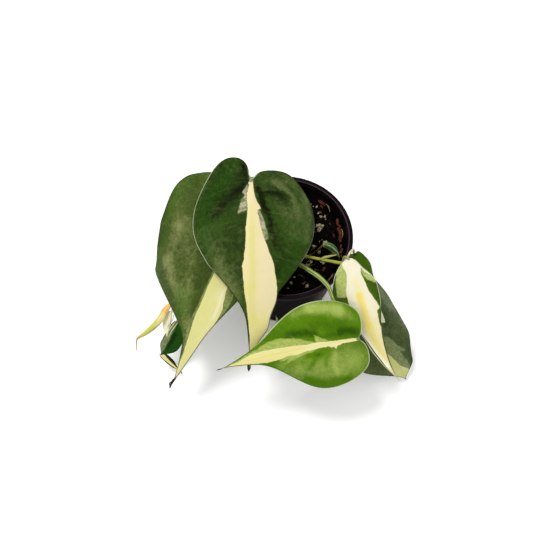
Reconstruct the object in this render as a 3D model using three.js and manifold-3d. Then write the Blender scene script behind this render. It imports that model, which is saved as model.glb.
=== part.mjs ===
// Potted silver stripe philodendron: a young trailing plant in a small nursery pot.
// Millimetres, +Z up. The origin is the middle of the underside of the pot.

import * as THREE from 'three';
import { mergeVertices } from 'three/addons/utils/BufferGeometryUtils.js';
import Module from 'manifold-3d';

const wasm = await Module();
wasm.setup();

// Driving dimensions of the pot and the soil

const POT = {
  height: 70,
  rimRadius: 40,
  baseRadius: 28,
  wall: 1.4,
  floor: 1.6,
  lipHeight: 4,
  lipDepth: 1.2,
  edge: 0.6,
  sides: 48,
  drainHoles: 6,
  drainRadius: 2.5,
  drainCircle: 18,
};

const SOIL = {
  level: 59.5,
  rings: 9,
  sides: 36,
  relief: 0.55,
  edgeDrop: 1,
  inset: 0.4,
  bareRoundStems: 3.5,
};

const PERLITE = { count: 32, smallest: 0.6, largest: 1.4, sunk: 0.25, fromWall: 3, seed: 11 };
const BARK = { count: 16, length: 5, width: 2, thickness: 1.2, fromWall: 4, tilt: 0.25, seed: 29 };

const CLEARANCE = 0.35;
const BLADE = { thickness: 0.8, keel: 0.8, rows: 20, columns: 4 };
const SMALL_BLADE = { thickness: 0.7, keel: 0.2, rows: 12, columns: 3 };
const STALK = { sides: 8, step: 5, reach: 4, below: 0.9 };

// Leaves.
// base and tip are the ends of the midrib.
// face and faceTip are where the upper side looks at the base and at the tip, [azimuth, elevation].
// arch and bow are how far the midrib turns from its chord at its two ends, up and sideways.
// The pairs from width on are [left half, right half], as seen from the stalk towards the tip.
// width is a half's greatest width and widest its place along the midrib.
// lobe is how far it reaches behind the stalk, below zero on a wedge-shaped base.
// lobeAt is where the lobe ends, as a share of the width.
// shoulder is a point that the margin passes on its way to the tip, [share of length, share of width].
// fold and cup are a half's slope and its curl from midrib to margin, [at the base, at the tip].
// stalk is the leaf stalk's route from where it stands or is held to the blade.

const LEAVES = {
  leaf_front: {
    base: [-19.5, 15.5, 107],
    tip: [-21, -72.5, 37],
    face: [-98, 52],
    faceTip: [-98, 52],
    arch: [27, 32],
    bow: [1, 7],
    width: [41, 39],
    lobe: [8, 15],
    widest: [0.2, 0.19],
    lobeAt: [0.46, 0.36],
    shoulder: [[0.58, 0.38], [0.7, 0.06]],
    fold: [[-14, -8], [-19, -8]],
    cup: [[-35, -38], [-17, -23]],
    lobeLift: 6,
    stalk: [[7, 8, 42], [7.5, 8.5, 60], [8, 12, 76], [3.5, 17.5, 90.5], [-9.5, 19.5, 101.5]],
    stalkRadius: [1.7, 1.1],
    blade: BLADE,
    colour: 0x3f6a34,
  },
  leaf_left: {
    base: [-27, 12, 93],
    tip: [-69.2, -78, 20.3],
    face: [-132, 54],
    faceTip: [-133, 50],
    arch: [5, 26],
    bow: [35, 21],
    width: [22, 56],
    lobe: [11, 21],
    widest: [0.05, 0.53],
    lobeAt: [0.45, 0.5],
    shoulder: [[0.7, 0.05], [0.74, 0.17]],
    fold: [[-12, -13], [7, -11]],
    cup: [[-23, -24], [-1, -50]],
    lobeLift: -17,
    stalk: [[-13, 3, 42], [-13.5, 3.5, 60], [-15.5, 6.5, 74], [-21, 11, 86]],
    stalkRadius: [1.6, 1.1],
    blade: BLADE,
    colour: 0x55753f,
  },
  leaf_low: {
    base: [40.2, -62, 64],
    tip: [-38.6, -75.4, 49.5],
    face: [-103, 52],
    faceTip: [-103, 52],
    arch: [12, 12.5],
    bow: [-6, -8],
    width: [27.4, 25.3],
    lobe: [6.4, 4.4],
    widest: [0.23, 0.25],
    lobeAt: [0.47, 0.47],
    shoulder: [[0.73, 0.11], [0.78, 0.17]],
    fold: [[1, -5.5], [-3, -5]],
    cup: [[-13, -26], [-21, -24]],
    lobeLift: 1,
    stalk: [[3, -12, 42], [4.5, -14, 60], [8.6, -17.5, 67], [14.6, -24, 72], [19.5, -28.2, 73],
      [23.8, -32.6, 72], [25, -34.6, 71.3], [26.4, -38.4, 69.6], [28.2, -42.2, 67.7],
      [32.2, -48.5, 63.8], [36.9, -54.8, 60.4], [40.2, -58.5, 60]],
    stalkRadius: [1.4, 1.4, 1.4, 1.4, 1.4, 1.3, 1.2, 1.1],
    blade: BLADE,
    colour: 0x86a34a,
  },
  leaf_cream: {
    base: [35, -22.5, 86],
    tip: [71, -72.5, 16],
    face: [-87, 47],
    faceTip: [-83, 49],
    arch: [22, 35],
    bow: [-7, -11.5],
    width: [12.2, 16],
    lobe: [0.4, 0.4],
    widest: [0.23, 0.19],
    lobeAt: [0.05, 0.05],
    shoulder: [[0.54, 0.32], [0.55, 0.33]],
    fold: [[-9, -14], [-12, -12.5]],
    cup: [[-21, -39], [-39, -39]],
    lobeLift: 0,
    stalk: [[32.9, -22.8, 80], [32.4, -21.4, 82], [33, -20.4, 84.2]],
    stalkRadius: [0.8, 0.7],
    blade: BLADE,
    colour: 0xe9e2b4,
  },
  leaf_right: {
    base: [40, -15, 75.5],
    tip: [76.5, -67.5, 2.5],
    face: [-47, 33],
    faceTip: [-65, 29],
    arch: [10, 11],
    bow: [-17, -9],
    width: [18.5, 19],
    lobe: [1, 1.5],
    widest: [0.45, 0.43],
    lobeAt: [0.36, 0.4],
    shoulder: [[0.88, 0.52], [0.87, 0.62]],
    fold: [[-31, -8], [-4, -12]],
    cup: [[-4, -20], [-11, -10]],
    lobeLift: -20,
    stalk: [[33.6, -20.2, 79], [35.2, -18.8, 81.4], [36.6, -16.6, 82.4], [38.6, -14, 80.4]],
    stalkRadius: [0.7, 0.65],
    blade: BLADE,
    colour: 0x5d6d57,
  },
  leaf_young: {
    base: [22.2, -8, 74],
    tip: [31.3, -14, 66],
    face: [-100, 60],
    faceTip: [-20, 30],
    arch: [24, 44],
    bow: [60, 66],
    width: [2.4, 2.6],
    lobe: [0.4, 0.4],
    widest: [0.6, 0.35],
    lobeAt: [0.2, 0.4],
    shoulder: [[0.75, 0.4], [0.75, 0.4]],
    fold: [[-24, -30], [-24, -30]],
    cup: [[-20, -20], [-20, -20]],
    lobeLift: 0,
    stalk: [[13, -6.5, 44], [14.2, -7.6, 58], [16, -8.4, 62], [19.2, -8.5, 68]],
    stalkRadius: [0.7, 0.6],
    blade: SMALL_BLADE,
    colour: 0x6d8c4c,
  },
};

// Trailing stems, as routes of their middles, with their radii along the route

const VINES = {
  vine_right: {
    route: [[-3, -5, 40], [-2.5, -5.5, 58], [2, -9, 66], [12, -14, 71], [22.7, -18.2, 75], [32.7, -22, 78.5]],
    radii: [1.5, 1.5, 1.2, 1, 0.9, 1.1],
    colour: 0x98a63f,
  },
  vine_left: {
    route: [[-18, -10, 40], [-19, -10, 58], [-25, -9.5, 68], [-33, -8, 72.6], [-41, -7.5, 72.2],
      [-50, -12.5, 65], [-58, -20.5, 54], [-63, -29.2, 46], [-65.7, -34.6, 42.5]],
    radii: [1.4, 1.4, 1.3, 1.2, 1.2, 1.2, 1.2, 1.2, 1.6],
    colour: 0x8d9a4a,
  },
};

const BUD = { route: [[20.4, -17.4, 74.2], [23, -17, 76.4], [28.8, -17.2, 80]], radii: [0.9, 0.95, 0.3] };

// Perlite that shows beside the leaves, [x, y, radius] on the soil, and bark, [x, y, share of full size]

const SEEN_PERLITE = [
  [20.1, 11.2, 1.5],
  [22.5, 11.4, 1.1],
  [20.9, 8.7, 1.3],
  [19.8, 24.1, 0.7],
  [22.1, 17.6, 0.9],
  [24.5, 17.7, 0.8],
  [20.6, 20.2, 0.6],
  [17.2, -2.2, 1.1],
  [20.3, -6, 0.8],
  [15.4, -12.6, 0.9],
  [13.2, -14.9, 1.1],
  [3.5, -26, 0.7],
  [12.8, -27.9, 0.9],
  [10.5, -26, 0.8],
];

const SEEN_BARK = [
  [23.6, 26, 0.9],
  [32.2, 12.8, 1],
  [32.6, 7, 1],
  [32, 1.4, 0.8],
];

// Small helpers for vectors, curves and random draws

const vector = (point) => new THREE.Vector3(...point);
const mix = (a, b, share) => a + (b - a) * share;
const degrees = THREE.MathUtils.degToRad;
const clamp = THREE.MathUtils.clamp;

function direction([azimuth, elevation]) {
  const a = degrees(azimuth);
  const e = degrees(elevation);
  return new THREE.Vector3(Math.cos(a) * Math.cos(e), Math.sin(a) * Math.cos(e), Math.sin(e));
}

// A repeatable run of numbers from 0 to 1
function draws(seed) {
  const modulus = 2147483647;
  let state = seed;
  return () => {
    state = (state * 48271) % modulus;
    return state / modulus;
  };
}

// Solids: a closed geometry becomes a body that can be joined and cut, and comes back as one

function bodyOf(geometry) {
  const bare = geometry.clone();
  bare.deleteAttribute('normal');
  bare.deleteAttribute('uv');
  const merged = mergeVertices(bare, 1e-4);
  return new wasm.Manifold(new wasm.Mesh({
    numProp: 3,
    vertProperties: new Float32Array(merged.attributes.position.array),
    triVerts: new Uint32Array(merged.index.array),
  }));
}

function geometryOf(body) {
  const mesh = body.getMesh();
  const geometry = new THREE.BufferGeometry();
  geometry.setAttribute('position', new THREE.BufferAttribute(mesh.vertProperties, 3));
  geometry.setIndex(new THREE.BufferAttribute(mesh.triVerts, 1));
  geometry.computeVertexNormals();
  return geometry;
}

// The largest piece of a body that a cut has left in several
function largest(body) {
  const pieces = body.decompose();
  return pieces.reduce((best, piece) => (piece.volume() > best.volume() ? piece : best));
}

function geometryFrom(points, triangles) {
  const geometry = new THREE.BufferGeometry();
  geometry.setAttribute('position', new THREE.Float32BufferAttribute(points.flatMap((p) => p.toArray()), 3));
  geometry.setIndex(triangles.flat());
  return geometry;
}

// A closed round tube of changing radius along a smooth route

function tube(route, radii, sides = STALK.sides, step = STALK.step) {
  const curve = new THREE.CatmullRomCurve3(route.map(vector), false, 'catmullrom', 0.5);
  const spans = route.length - 1;
  const steps = Math.max(spans * 2, Math.round(curve.getLength() / step));
  const points = [];
  const triangles = [];
  let across = new THREE.Vector3(1, 0, 0);
  for (let i = 0; i <= steps; i += 1) {
    const share = i / steps;
    const along = curve.getTangent(share);
    across = across.clone().addScaledVector(along, -across.dot(along)).normalize();
    const up = new THREE.Vector3().crossVectors(along, across);
    const place = share * (radii.length - 1);
    const from = Math.min(Math.floor(place), radii.length - 2);
    const radius = mix(radii[from], radii[from + 1], place - from);
    for (let k = 0; k < sides; k += 1) {
      const turn = (2 * Math.PI * k) / sides;
      points.push(curve.getPoint(share)
        .addScaledVector(across, radius * Math.cos(turn))
        .addScaledVector(up, radius * Math.sin(turn)));
    }
  }
  for (let i = 0; i < steps; i += 1) {
    for (let k = 0; k < sides; k += 1) {
      const next = (k + 1) % sides;
      const [a, b] = [i * sides + k, i * sides + next];
      triangles.push([a, b, b + sides], [a, b + sides, a + sides]);
    }
  }
  const first = points.push(vector(route[0])) - 1;
  const last = points.push(vector(route[spans])) - 1;
  for (let k = 0; k < sides; k += 1) {
    const next = (k + 1) % sides;
    triangles.push([first, next, k], [last, steps * sides + k, steps * sides + next]);
  }
  return bodyOf(geometryFrom(points, triangles));
}

// A leaf's midrib, and the frame along it: place, course, upper side and left side

function midribOf(leaf) {
  const base = vector(leaf.base);
  const tip = vector(leaf.tip);
  const chord = tip.clone().sub(base);
  const span = chord.length();
  chord.normalize();
  const face = direction(leaf.face);
  const rise = face.clone().addScaledVector(chord, -face.dot(chord)).normalize();
  const side = new THREE.Vector3().crossVectors(rise, chord);
  const start = chord.clone()
    .addScaledVector(rise, Math.tan(degrees(leaf.arch[0])))
    .addScaledVector(side, Math.tan(degrees(leaf.bow[0])))
    .normalize();
  const end = chord.clone()
    .addScaledVector(rise, -Math.tan(degrees(leaf.arch[1])))
    .addScaledVector(side, -Math.tan(degrees(leaf.bow[1])))
    .normalize();
  const curve = new THREE.CubicBezierCurve3(
    base,
    base.clone().addScaledVector(start, span / 3),
    tip.clone().addScaledVector(end, -span / 3),
    tip,
  );
  return { curve, length: curve.getLength() };
}

function frameAt(leaf, midrib, along) {
  const share = clamp(along / midrib.length, 0, 1);
  const place = midrib.curve.getPointAt(share);
  const course = midrib.curve.getTangentAt(share);
  const up = direction(leaf.face).lerp(direction(leaf.faceTip), share);
  up.addScaledVector(course, -up.dot(course)).normalize();
  const behind = Math.min(along, 0);
  const reach = Math.max(...leaf.lobe);
  if (behind < 0) {
    place.addScaledVector(course, behind);
    place.addScaledVector(up, (Math.tan(degrees(leaf.lobeLift)) * behind * behind) / reach);
  }
  return { place, course, up, left: new THREE.Vector3().crossVectors(up, course) };
}

// One half's margin as [along, across] points, from the stalk round the lobe to the tip

const MARGIN_SHARES = [0.16, 0.26, 0.33, 0.25];

function marginOf(leaf, side, length, rows) {
  const width = leaf.width[side];
  const lobe = leaf.lobe[side];
  const lobeAcross = leaf.lobeAt[side] * width;
  const widest = leaf.widest[side] * length;
  const shoulder = [leaf.shoulder[side][0] * length, leaf.shoulder[side][1] * width];
  const rest = length - shoulder[0];
  const slope = (-1.5 * shoulder[1]) / rest;
  const fall = shoulder[0] - widest;
  const arcs = [
    [[0, 0], [-0.6 * lobe, 0.02 * width],
      [-lobe, Math.max(0.3 * lobeAcross, lobeAcross - 0.33 * width)], [-lobe, lobeAcross]],
    [[-lobe, lobeAcross], [-lobe, lobeAcross + 0.3 * width],
      [widest - 0.5 * (widest + lobe), width], [widest, width]],
    [[widest, width], [widest + 0.42 * fall, width],
      [shoulder[0] - 0.38 * fall, shoulder[1] - slope * 0.38 * fall], shoulder],
    [shoulder, [shoulder[0] + 0.35 * rest, shoulder[1] + slope * 0.35 * rest],
      [length - 0.3 * rest, 0], [length, 0]],
  ];
  const margin = [new THREE.Vector2(0, 0)];
  arcs.forEach((arc, index) => {
    const curve = new THREE.CubicBezierCurve(...arc.map((point) => new THREE.Vector2(...point)));
    const steps = Math.max(2, Math.round(rows * MARGIN_SHARES[index]));
    margin.push(...curve.getPoints(steps).slice(1));
  });
  return margin;
}

// A point of the blade's middle surface

function bladePoint(leaf, midrib, side, along, across) {
  const width = leaf.width[side];
  const share = clamp(along / midrib.length, 0, 1);
  const fold = degrees(mix(...leaf.fold[side], share));
  const cup = degrees(mix(...leaf.cup[side], share));
  const turn = fold + (cup * across) / width;
  const outward = (width / cup) * (Math.sin(turn) - Math.sin(fold));
  const upward = (-width / cup) * (Math.cos(turn) - Math.cos(fold));
  const frame = frameAt(leaf, midrib, along);
  return frame.place
    .addScaledVector(frame.left, side === 0 ? outward : -outward)
    .addScaledVector(frame.up, upward);
}

// A leaf's blade: rows follow the side veins from the midrib to the margin.
// The same grid is used for the upper and the lower face, and a ridge under the midrib is the keel.

function blade(leaf) {
  const { rows, columns, thickness, keel } = leaf.blade;
  const midrib = midribOf(leaf);
  const points = [];
  const ridge = [];
  const known = new Map();
  const triangles = [];
  const rim = [[], []];
  for (const side of [0, 1]) {
    const margin = marginOf(leaf, side, midrib.length, rows);
    const last = margin.length - 1;
    const vein = (i) => midrib.length * clamp((i / last - 0.3) / 0.7, 0, 1) ** 1.25;
    const index = (i, j) => {
      const start = vein(i);
      let key = `${side} ${i} ${j}`;
      if (i === 0 || (j === 0 && start === 0)) key = 'base';
      else if (i === last) key = 'tip';
      else if (j === 0) key = `midrib ${i}`;
      if (!known.has(key)) {
        const share = j / columns;
        known.set(key, points.push(
          bladePoint(leaf, midrib, side, mix(start, margin[i].x, share), margin[i].y * share),
        ) - 1);
        ridge.push(j === 0 && i < last ? keel * (1 - i / last) : 0);
      }
      return known.get(key);
    };
    for (let i = 0; i < last; i += 1) {
      for (let j = 0; j < columns; j += 1) {
        const [a, b, c, d] = [index(i, j), index(i, j + 1), index(i + 1, j + 1), index(i + 1, j)];
        for (const triangle of [[a, b, c], [a, c, d]]) {
          if (new Set(triangle).size === 3) triangles.push(side === 1 ? triangle : triangle.reverse());
        }
      }
    }
    for (let i = 0; i <= last; i += 1) rim[side].push(index(i, columns));
  }
  const middle = geometryFrom(points, triangles);
  middle.computeVertexNormals();
  const normals = middle.attributes.normal;
  const upper = points.map((point, i) => point.clone()
    .addScaledVector(new THREE.Vector3().fromBufferAttribute(normals, i), thickness / 2));
  const lower = points.map((point, i) => point.clone()
    .addScaledVector(new THREE.Vector3().fromBufferAttribute(normals, i), -thickness / 2 - ridge[i]));
  const count = points.length;
  const faces = triangles.flatMap(([a, b, c]) => [[a, b, c], [a + count, c + count, b + count]]);
  const loop = [...rim[0], ...rim[1].slice(1, -1).reverse()];
  loop.forEach((a, i) => {
    const b = loop[(i + 1) % loop.length];
    faces.push([a, b, b + count], [a, b + count, a + count]);
  });
  return bodyOf(geometryFrom([...upper, ...lower], faces));
}

// The stalk runs on a little way under the midrib, so that it meets the blade at one place
function stalkRoute(leaf) {
  const under = (along, below) => {
    const { place, up } = frameAt(leaf, midribOf(leaf), along);
    return place.addScaledVector(up, -below).toArray();
  };
  return [...leaf.stalk, under(0, STALK.below), under(STALK.reach, STALK.below / 2)];
}

function leafWithStalk(leaf) {
  return blade(leaf).add(tube(stalkRoute(leaf), leaf.stalkRadius));
}

// What a stem or stalk keeps clear round itself

function room(route, radii) {
  const beyond = (end, next) => {
    const out = vector(end).sub(vector(next)).setLength(CLEARANCE);
    return vector(end).add(out).toArray();
  };
  const count = route.length;
  const longer = [
    beyond(route[0], route[1]),
    ...route.slice(1, -1),
    beyond(route[count - 1], route[count - 2]),
  ];
  return tube(longer, radii.map((radius) => radius + CLEARANCE));
}

// Pot: a tapered shell with a rolled lip and drain holes round the middle of its floor

function pot() {
  const { height, rimRadius, baseRadius, wall, floor, lipHeight, lipDepth, edge } = POT;
  const wallRadius = (z) => mix(baseRadius, rimRadius - lipDepth, z / height);
  const profile = [
    [0, 0],
    [baseRadius - 2 * edge, 0],
    [baseRadius, 2 * edge],
    [wallRadius(height - lipHeight), height - lipHeight],
    [rimRadius, height - lipHeight],
    [rimRadius, height - edge],
    [rimRadius - edge, height],
    [wallRadius(height) - wall + edge, height],
    [wallRadius(height) - wall, height - edge],
    [wallRadius(floor) - wall, floor],
    [0, floor],
  ].map(([r, z]) => new THREE.Vector2(r, z));
  const shell = new THREE.LatheGeometry(profile, POT.sides).rotateX(Math.PI / 2);
  let body = bodyOf(shell);
  for (let i = 0; i < POT.drainHoles; i += 1) {
    const turn = (2 * Math.PI * i) / POT.drainHoles;
    const hole = new THREE.CylinderGeometry(POT.drainRadius, POT.drainRadius, 4 * floor, 12)
      .rotateX(Math.PI / 2)
      .translate(POT.drainCircle * Math.cos(turn), POT.drainCircle * Math.sin(turn), 0);
    body = body.subtract(bodyOf(hole));
  }
  return body;
}

const innerRadius = (z) => mix(POT.baseRadius, POT.rimRadius - POT.lipDepth, z / POT.height) - POT.wall;

// Soil: a plug that fills the pot, uneven on top, with perlite and bark sunk in it

function soilHeight(x, y) {
  const waves = Math.sin(0.31 * x + 0.9) * Math.cos(0.27 * y - 0.4)
    + 0.8 * Math.sin(0.53 * x - 0.41 * y + 1.2)
    + 0.5 * Math.cos(0.9 * x + 0.7 * y);
  return SOIL.level + SOIL.relief * waves;
}

function soilPlug() {
  const bottom = POT.floor + CLEARANCE;
  const edgeLevel = SOIL.level - SOIL.edgeDrop;
  const edgeRadius = innerRadius(edgeLevel - SOIL.edgeDrop) - SOIL.inset;
  const footRadius = innerRadius(bottom) - SOIL.inset;
  const points = [new THREE.Vector3(0, 0, soilHeight(0, 0))];
  const triangles = [];
  const { rings, sides } = SOIL;
  for (let ring = 1; ring <= rings; ring += 1) {
    for (let k = 0; k < sides; k += 1) {
      const turn = (2 * Math.PI * (k + 0.5 * (ring % 2))) / sides;
      const radius = (edgeRadius * ring) / rings;
      const [x, y] = [radius * Math.cos(turn), radius * Math.sin(turn)];
      points.push(new THREE.Vector3(x, y, ring < rings ? soilHeight(x, y) : edgeLevel));
    }
  }
  for (let k = 0; k < sides; k += 1) {
    const turn = (2 * Math.PI * (k + 0.5 * (rings % 2))) / sides;
    points.push(new THREE.Vector3(footRadius * Math.cos(turn), footRadius * Math.sin(turn), bottom));
  }
  const foot = points.push(new THREE.Vector3(0, 0, bottom)) - 1;
  for (let k = 0; k < sides; k += 1) triangles.push([0, 1 + k, 1 + ((k + 1) % sides)]);
  for (let ring = 0; ring < rings; ring += 1) {
    for (let k = 0; k < sides; k += 1) {
      const a = 1 + ring * sides + k;
      const b = 1 + ring * sides + ((k + 1) % sides);
      triangles.push([a, a + sides, b + sides], [a, b + sides, b]);
    }
  }
  for (let k = 0; k < sides; k += 1) {
    const a = 1 + rings * sides + k;
    const b = 1 + rings * sides + ((k + 1) % sides);
    triangles.push([a, foot, b]);
  }
  return bodyOf(geometryFrom(points, triangles));
}

// Where the stems and stalks enter the soil
function stemFeet() {
  const standing = Object.values(LEAVES).filter((leaf) => leaf.stalk[0][2] < SOIL.level);
  return [
    ...standing.map((leaf) => ({ route: stalkRoute(leaf), radii: leaf.stalkRadius })),
    ...Object.values(VINES),
  ];
}

const clearOfStems = (x, y, reach) => stemFeet().every(({ route }) => (
  Math.hypot(x - route[1][0], y - route[1][1]) > reach + SOIL.bareRoundStems
));

function perlite() {
  const draw = draws(PERLITE.seed);
  const grains = SEEN_PERLITE.map(([x, y, radius]) => ({ x, y, radius, turn: 6 * draw() }));
  while (grains.length < PERLITE.count) {
    const spread = Math.sqrt(draw()) * (innerRadius(SOIL.level) - PERLITE.fromWall);
    const around = 2 * Math.PI * draw();
    const radius = mix(PERLITE.smallest, PERLITE.largest, draw() ** 2);
    const [x, y] = [spread * Math.cos(around), spread * Math.sin(around)];
    if (clearOfStems(x, y, radius)) grains.push({ x, y, radius, turn: 6 * draw() });
  }
  return grains.map(({ x, y, radius, turn }) => bodyOf(
    new THREE.IcosahedronGeometry(radius, 0)
      .rotateX(turn)
      .rotateZ(2 * turn)
      .scale(1, 1, 0.8)
      .translate(x, y, soilHeight(x, y) + PERLITE.sunk * radius),
  ));
}

function bark() {
  const draw = draws(BARK.seed);
  const chips = SEEN_BARK.map(([x, y, size]) => ({ x, y, size }));
  while (chips.length < BARK.count) {
    const spread = Math.sqrt(draw()) * (innerRadius(SOIL.level) - BARK.fromWall);
    const around = 2 * Math.PI * draw();
    const size = mix(0.6, 1, draw());
    const [x, y] = [spread * Math.cos(around), spread * Math.sin(around)];
    if (clearOfStems(x, y, BARK.length / 2)) chips.push({ x, y, size });
  }
  return chips.map(({ x, y, size }) => bodyOf(
    new THREE.BoxGeometry(BARK.length * size, BARK.width * size, BARK.thickness)
      .rotateY(mix(-BARK.tilt, BARK.tilt, draw()))
      .rotateX(mix(-BARK.tilt, BARK.tilt, draw()))
      .rotateZ(Math.atan2(y, x) + Math.PI / 2 + mix(-BARK.tilt, BARK.tilt, draw()))
      .translate(x, y, soilHeight(x, y)),
  ));
}

function soil() {
  const filled = [...perlite(), ...bark()].reduce((body, grain) => body.add(grain), soilPlug());
  return largest(stemFeet().reduce((body, { route, radii }) => body.subtract(room(route, radii)), filled));
}

// The growing end of the left vine: a rolled new leaf, a papery sheath and a small folded leaf

const ROLLED_LEAF = {
  route: [[-66.6, -33.4, 45.1], [-68.6, -33.6, 43.9], [-71.5, -35.8, 41.5], [-74.2, -39.3, 38],
    [-78.9, -42.6, 32.5], [-84.5, -45.1, 27], [-88.8, -46.4, 23], [-90.9, -47.2, 19.5],
    [-91.8, -48.4, 12.5], [-92.4, -49.4, 6.5]],
  radii: [1.1, 1.4, 1.9, 2.3, 2, 1.5, 0.9, 0.5, 0.35, 0.3],
};

const SHEATH = {
  base: [-68, -36.6, 40.8],
  tip: [-71.3, -48.6, 28.6],
  face: [-110, 40],
  faceTip: [-100, 35],
  arch: [4, 10],
  bow: [0, 4],
  width: [1.3, 6.2],
  lobe: [0.3, 0.3],
  widest: [0.45, 0.45],
  lobeAt: [0.1, 0.1],
  shoulder: [[0.78, 0.55], [0.78, 0.55]],
  fold: [[-30, -24], [-30, -24]],
  cup: [[-30, -20], [-30, -20]],
  lobeLift: 0,
  stalk: [[-66, -34.8, 42.5], [-67, -35.7, 41.7]],
  stalkRadius: [1.1, 0.8],
  blade: SMALL_BLADE,
};

const SMALL_LEAF = {
  base: [-64.2, -42.2, 36.5],
  tip: [-76.2, -55.6, 15.5],
  face: [-95, 50],
  faceTip: [-95, 50],
  arch: [6, 10],
  bow: [2, 10],
  width: [7, 5],
  lobe: [1, 0.7],
  widest: [0.5, 0.62],
  lobeAt: [0.4, 0.3],
  shoulder: [[0.84, 0.6], [0.84, 0.6]],
  fold: [[-10, -10], [-14, -14]],
  cup: [[-20, -20], [-24, -24]],
  lobeLift: 0,
  stalk: [[-64.6, -35.6, 41.5], [-63, -37.6, 38.7], [-63, -40, 36.7]],
  stalkRadius: [0.9, 0.8],
  blade: SMALL_BLADE,
};

// The last third of the small leaf is bent under and turns its face the other way
const SMALL_LEAF_END = {
  ...SMALL_LEAF,
  base: [-75.5, -54.8, 16.5],
  tip: [-63.9, -63.8, 7.5],
  face: [-110, 45],
  faceTip: [-110, 45],
  arch: [6, 6],
  bow: [0, 0],
  width: [2.6, 3.8],
  lobe: [0.2, 0.2],
  lobeAt: [0.2, 0.2],
  widest: [0.3, 0.14],
  shoulder: [[0.7, 0.5], [0.7, 0.5]],
};

function growingEnd(vineRoom) {
  return {
    leaf_rolled: largest(tube(ROLLED_LEAF.route, ROLLED_LEAF.radii).subtract(vineRoom)),
    sheath_papery: largest(leafWithStalk(SHEATH).subtract(vineRoom)),
    leaf_small: largest(leafWithStalk(SMALL_LEAF).add(blade(SMALL_LEAF_END)).subtract(vineRoom)),
  };
}

// Assembly

const plant = new THREE.Group();

function place(name, body, colour, roughness = 0.5) {
  const material = new THREE.MeshStandardMaterial({ color: colour, roughness, metalness: 0 });
  const mesh = new THREE.Mesh(geometryOf(body), material);
  mesh.name = name;
  plant.add(mesh);
}

place('pot', pot(), 0x2a2426, 0.4);
place('soil', soil(), 0x1c1512, 0.95);

const rightRoom = room(VINES.vine_right.route, VINES.vine_right.radii);
const leftRoom = room(VINES.vine_left.route, VINES.vine_left.radii);

for (const [name, vine] of Object.entries(VINES)) {
  const stem = tube(vine.route, vine.radii);
  const withBud = name === 'vine_right' ? stem.add(tube(BUD.route, BUD.radii)) : stem;
  place(name, withBud, vine.colour);
}

for (const [name, leaf] of Object.entries(LEAVES)) {
  place(name, largest(leafWithStalk(leaf).subtract(rightRoom)), leaf.colour, 0.4);
}

for (const [name, body] of Object.entries(growingEnd(leftRoom))) {
  place(name, body, name === 'leaf_small' ? 0x2f5a26 : 0xd9cc7a);
}

export default plant;
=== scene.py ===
"""Potted silver stripe philodendron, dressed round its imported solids.

The plant's own shapes are written in millimetres and turned into metres when a mesh is made.
"""

import math

import bmesh
import bpy
import numpy as np
from mathutils import Euler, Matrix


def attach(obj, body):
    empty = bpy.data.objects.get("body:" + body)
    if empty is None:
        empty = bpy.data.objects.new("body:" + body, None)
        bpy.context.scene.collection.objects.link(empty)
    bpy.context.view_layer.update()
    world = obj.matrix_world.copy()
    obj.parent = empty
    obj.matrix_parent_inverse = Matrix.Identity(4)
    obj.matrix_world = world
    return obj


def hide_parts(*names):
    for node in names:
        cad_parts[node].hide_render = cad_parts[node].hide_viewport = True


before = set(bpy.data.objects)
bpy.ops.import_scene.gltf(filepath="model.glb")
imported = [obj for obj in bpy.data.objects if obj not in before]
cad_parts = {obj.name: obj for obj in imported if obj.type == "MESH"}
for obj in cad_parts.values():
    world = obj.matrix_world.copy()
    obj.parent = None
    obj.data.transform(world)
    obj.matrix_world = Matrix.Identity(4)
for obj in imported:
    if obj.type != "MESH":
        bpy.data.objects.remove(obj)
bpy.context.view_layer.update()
MM = 0.001

# Camera: above the front of the pot, looking down at it

VIEW_TILT = 24.0
LENS = 59.91
SENSOR = 36.0
CAMERA_PLACE = (-0.01085, -0.2281, 0.5376)


def add_camera():
    data = bpy.data.cameras.new("camera")
    data.lens = LENS
    data.sensor_width = SENSOR
    data.clip_start = 0.01
    data.clip_end = 20
    camera = bpy.data.objects.new("camera", data)
    camera.location = CAMERA_PLACE
    camera.rotation_euler = Euler((math.radians(VIEW_TILT), 0, 0))
    bpy.context.scene.collection.objects.link(camera)
    bpy.context.scene.camera = camera


add_camera()

# Pot and soil, in millimetres

POT = dict(height=70, rim=40, base=28, wall=1.4, floor=1.6, lip=4, lip_depth=1.2,
           hole_count=6, hole_radius=2.5, hole_circle=18)
SOIL_LEVEL = 59.5
SOIL_RELIEF = 0.55
WORN_HIGHLIGHT_EDGE = (37.65, 69.6)

# Roundings of the pot's profile, the faint ring on its wall, and the step inside its rim: how far
# down and how far in. WORN_HIGHLIGHT_EDGE above is the radius and height of the rim's inner edge,
# where a pale line is painted, partly wear and partly a painted highlight.

FOOT_ROUND = 1.3
RIM_ROUND = .7
LIP_ROUND = .5
FLOOR_ROUND = 1
WALL_RING = dict(low=52, high=53, out=.12)
RIM_STEP = ((2.8, 0), (3.1, .25), (3.8, .25), (4.3, 0))
HOLE_SIDES = 32
POT_SIDES = 128

# Leaves: the same values as in the part's own source, but for nudges and stalk_seen, which are finer
# than its solids. A nudge moves a margin: the half, the share of the length, the reach as a share and
# the millimetres. Pairs from width on are the leaf's left and right half, seen from the stalk towards
# the tip.

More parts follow.
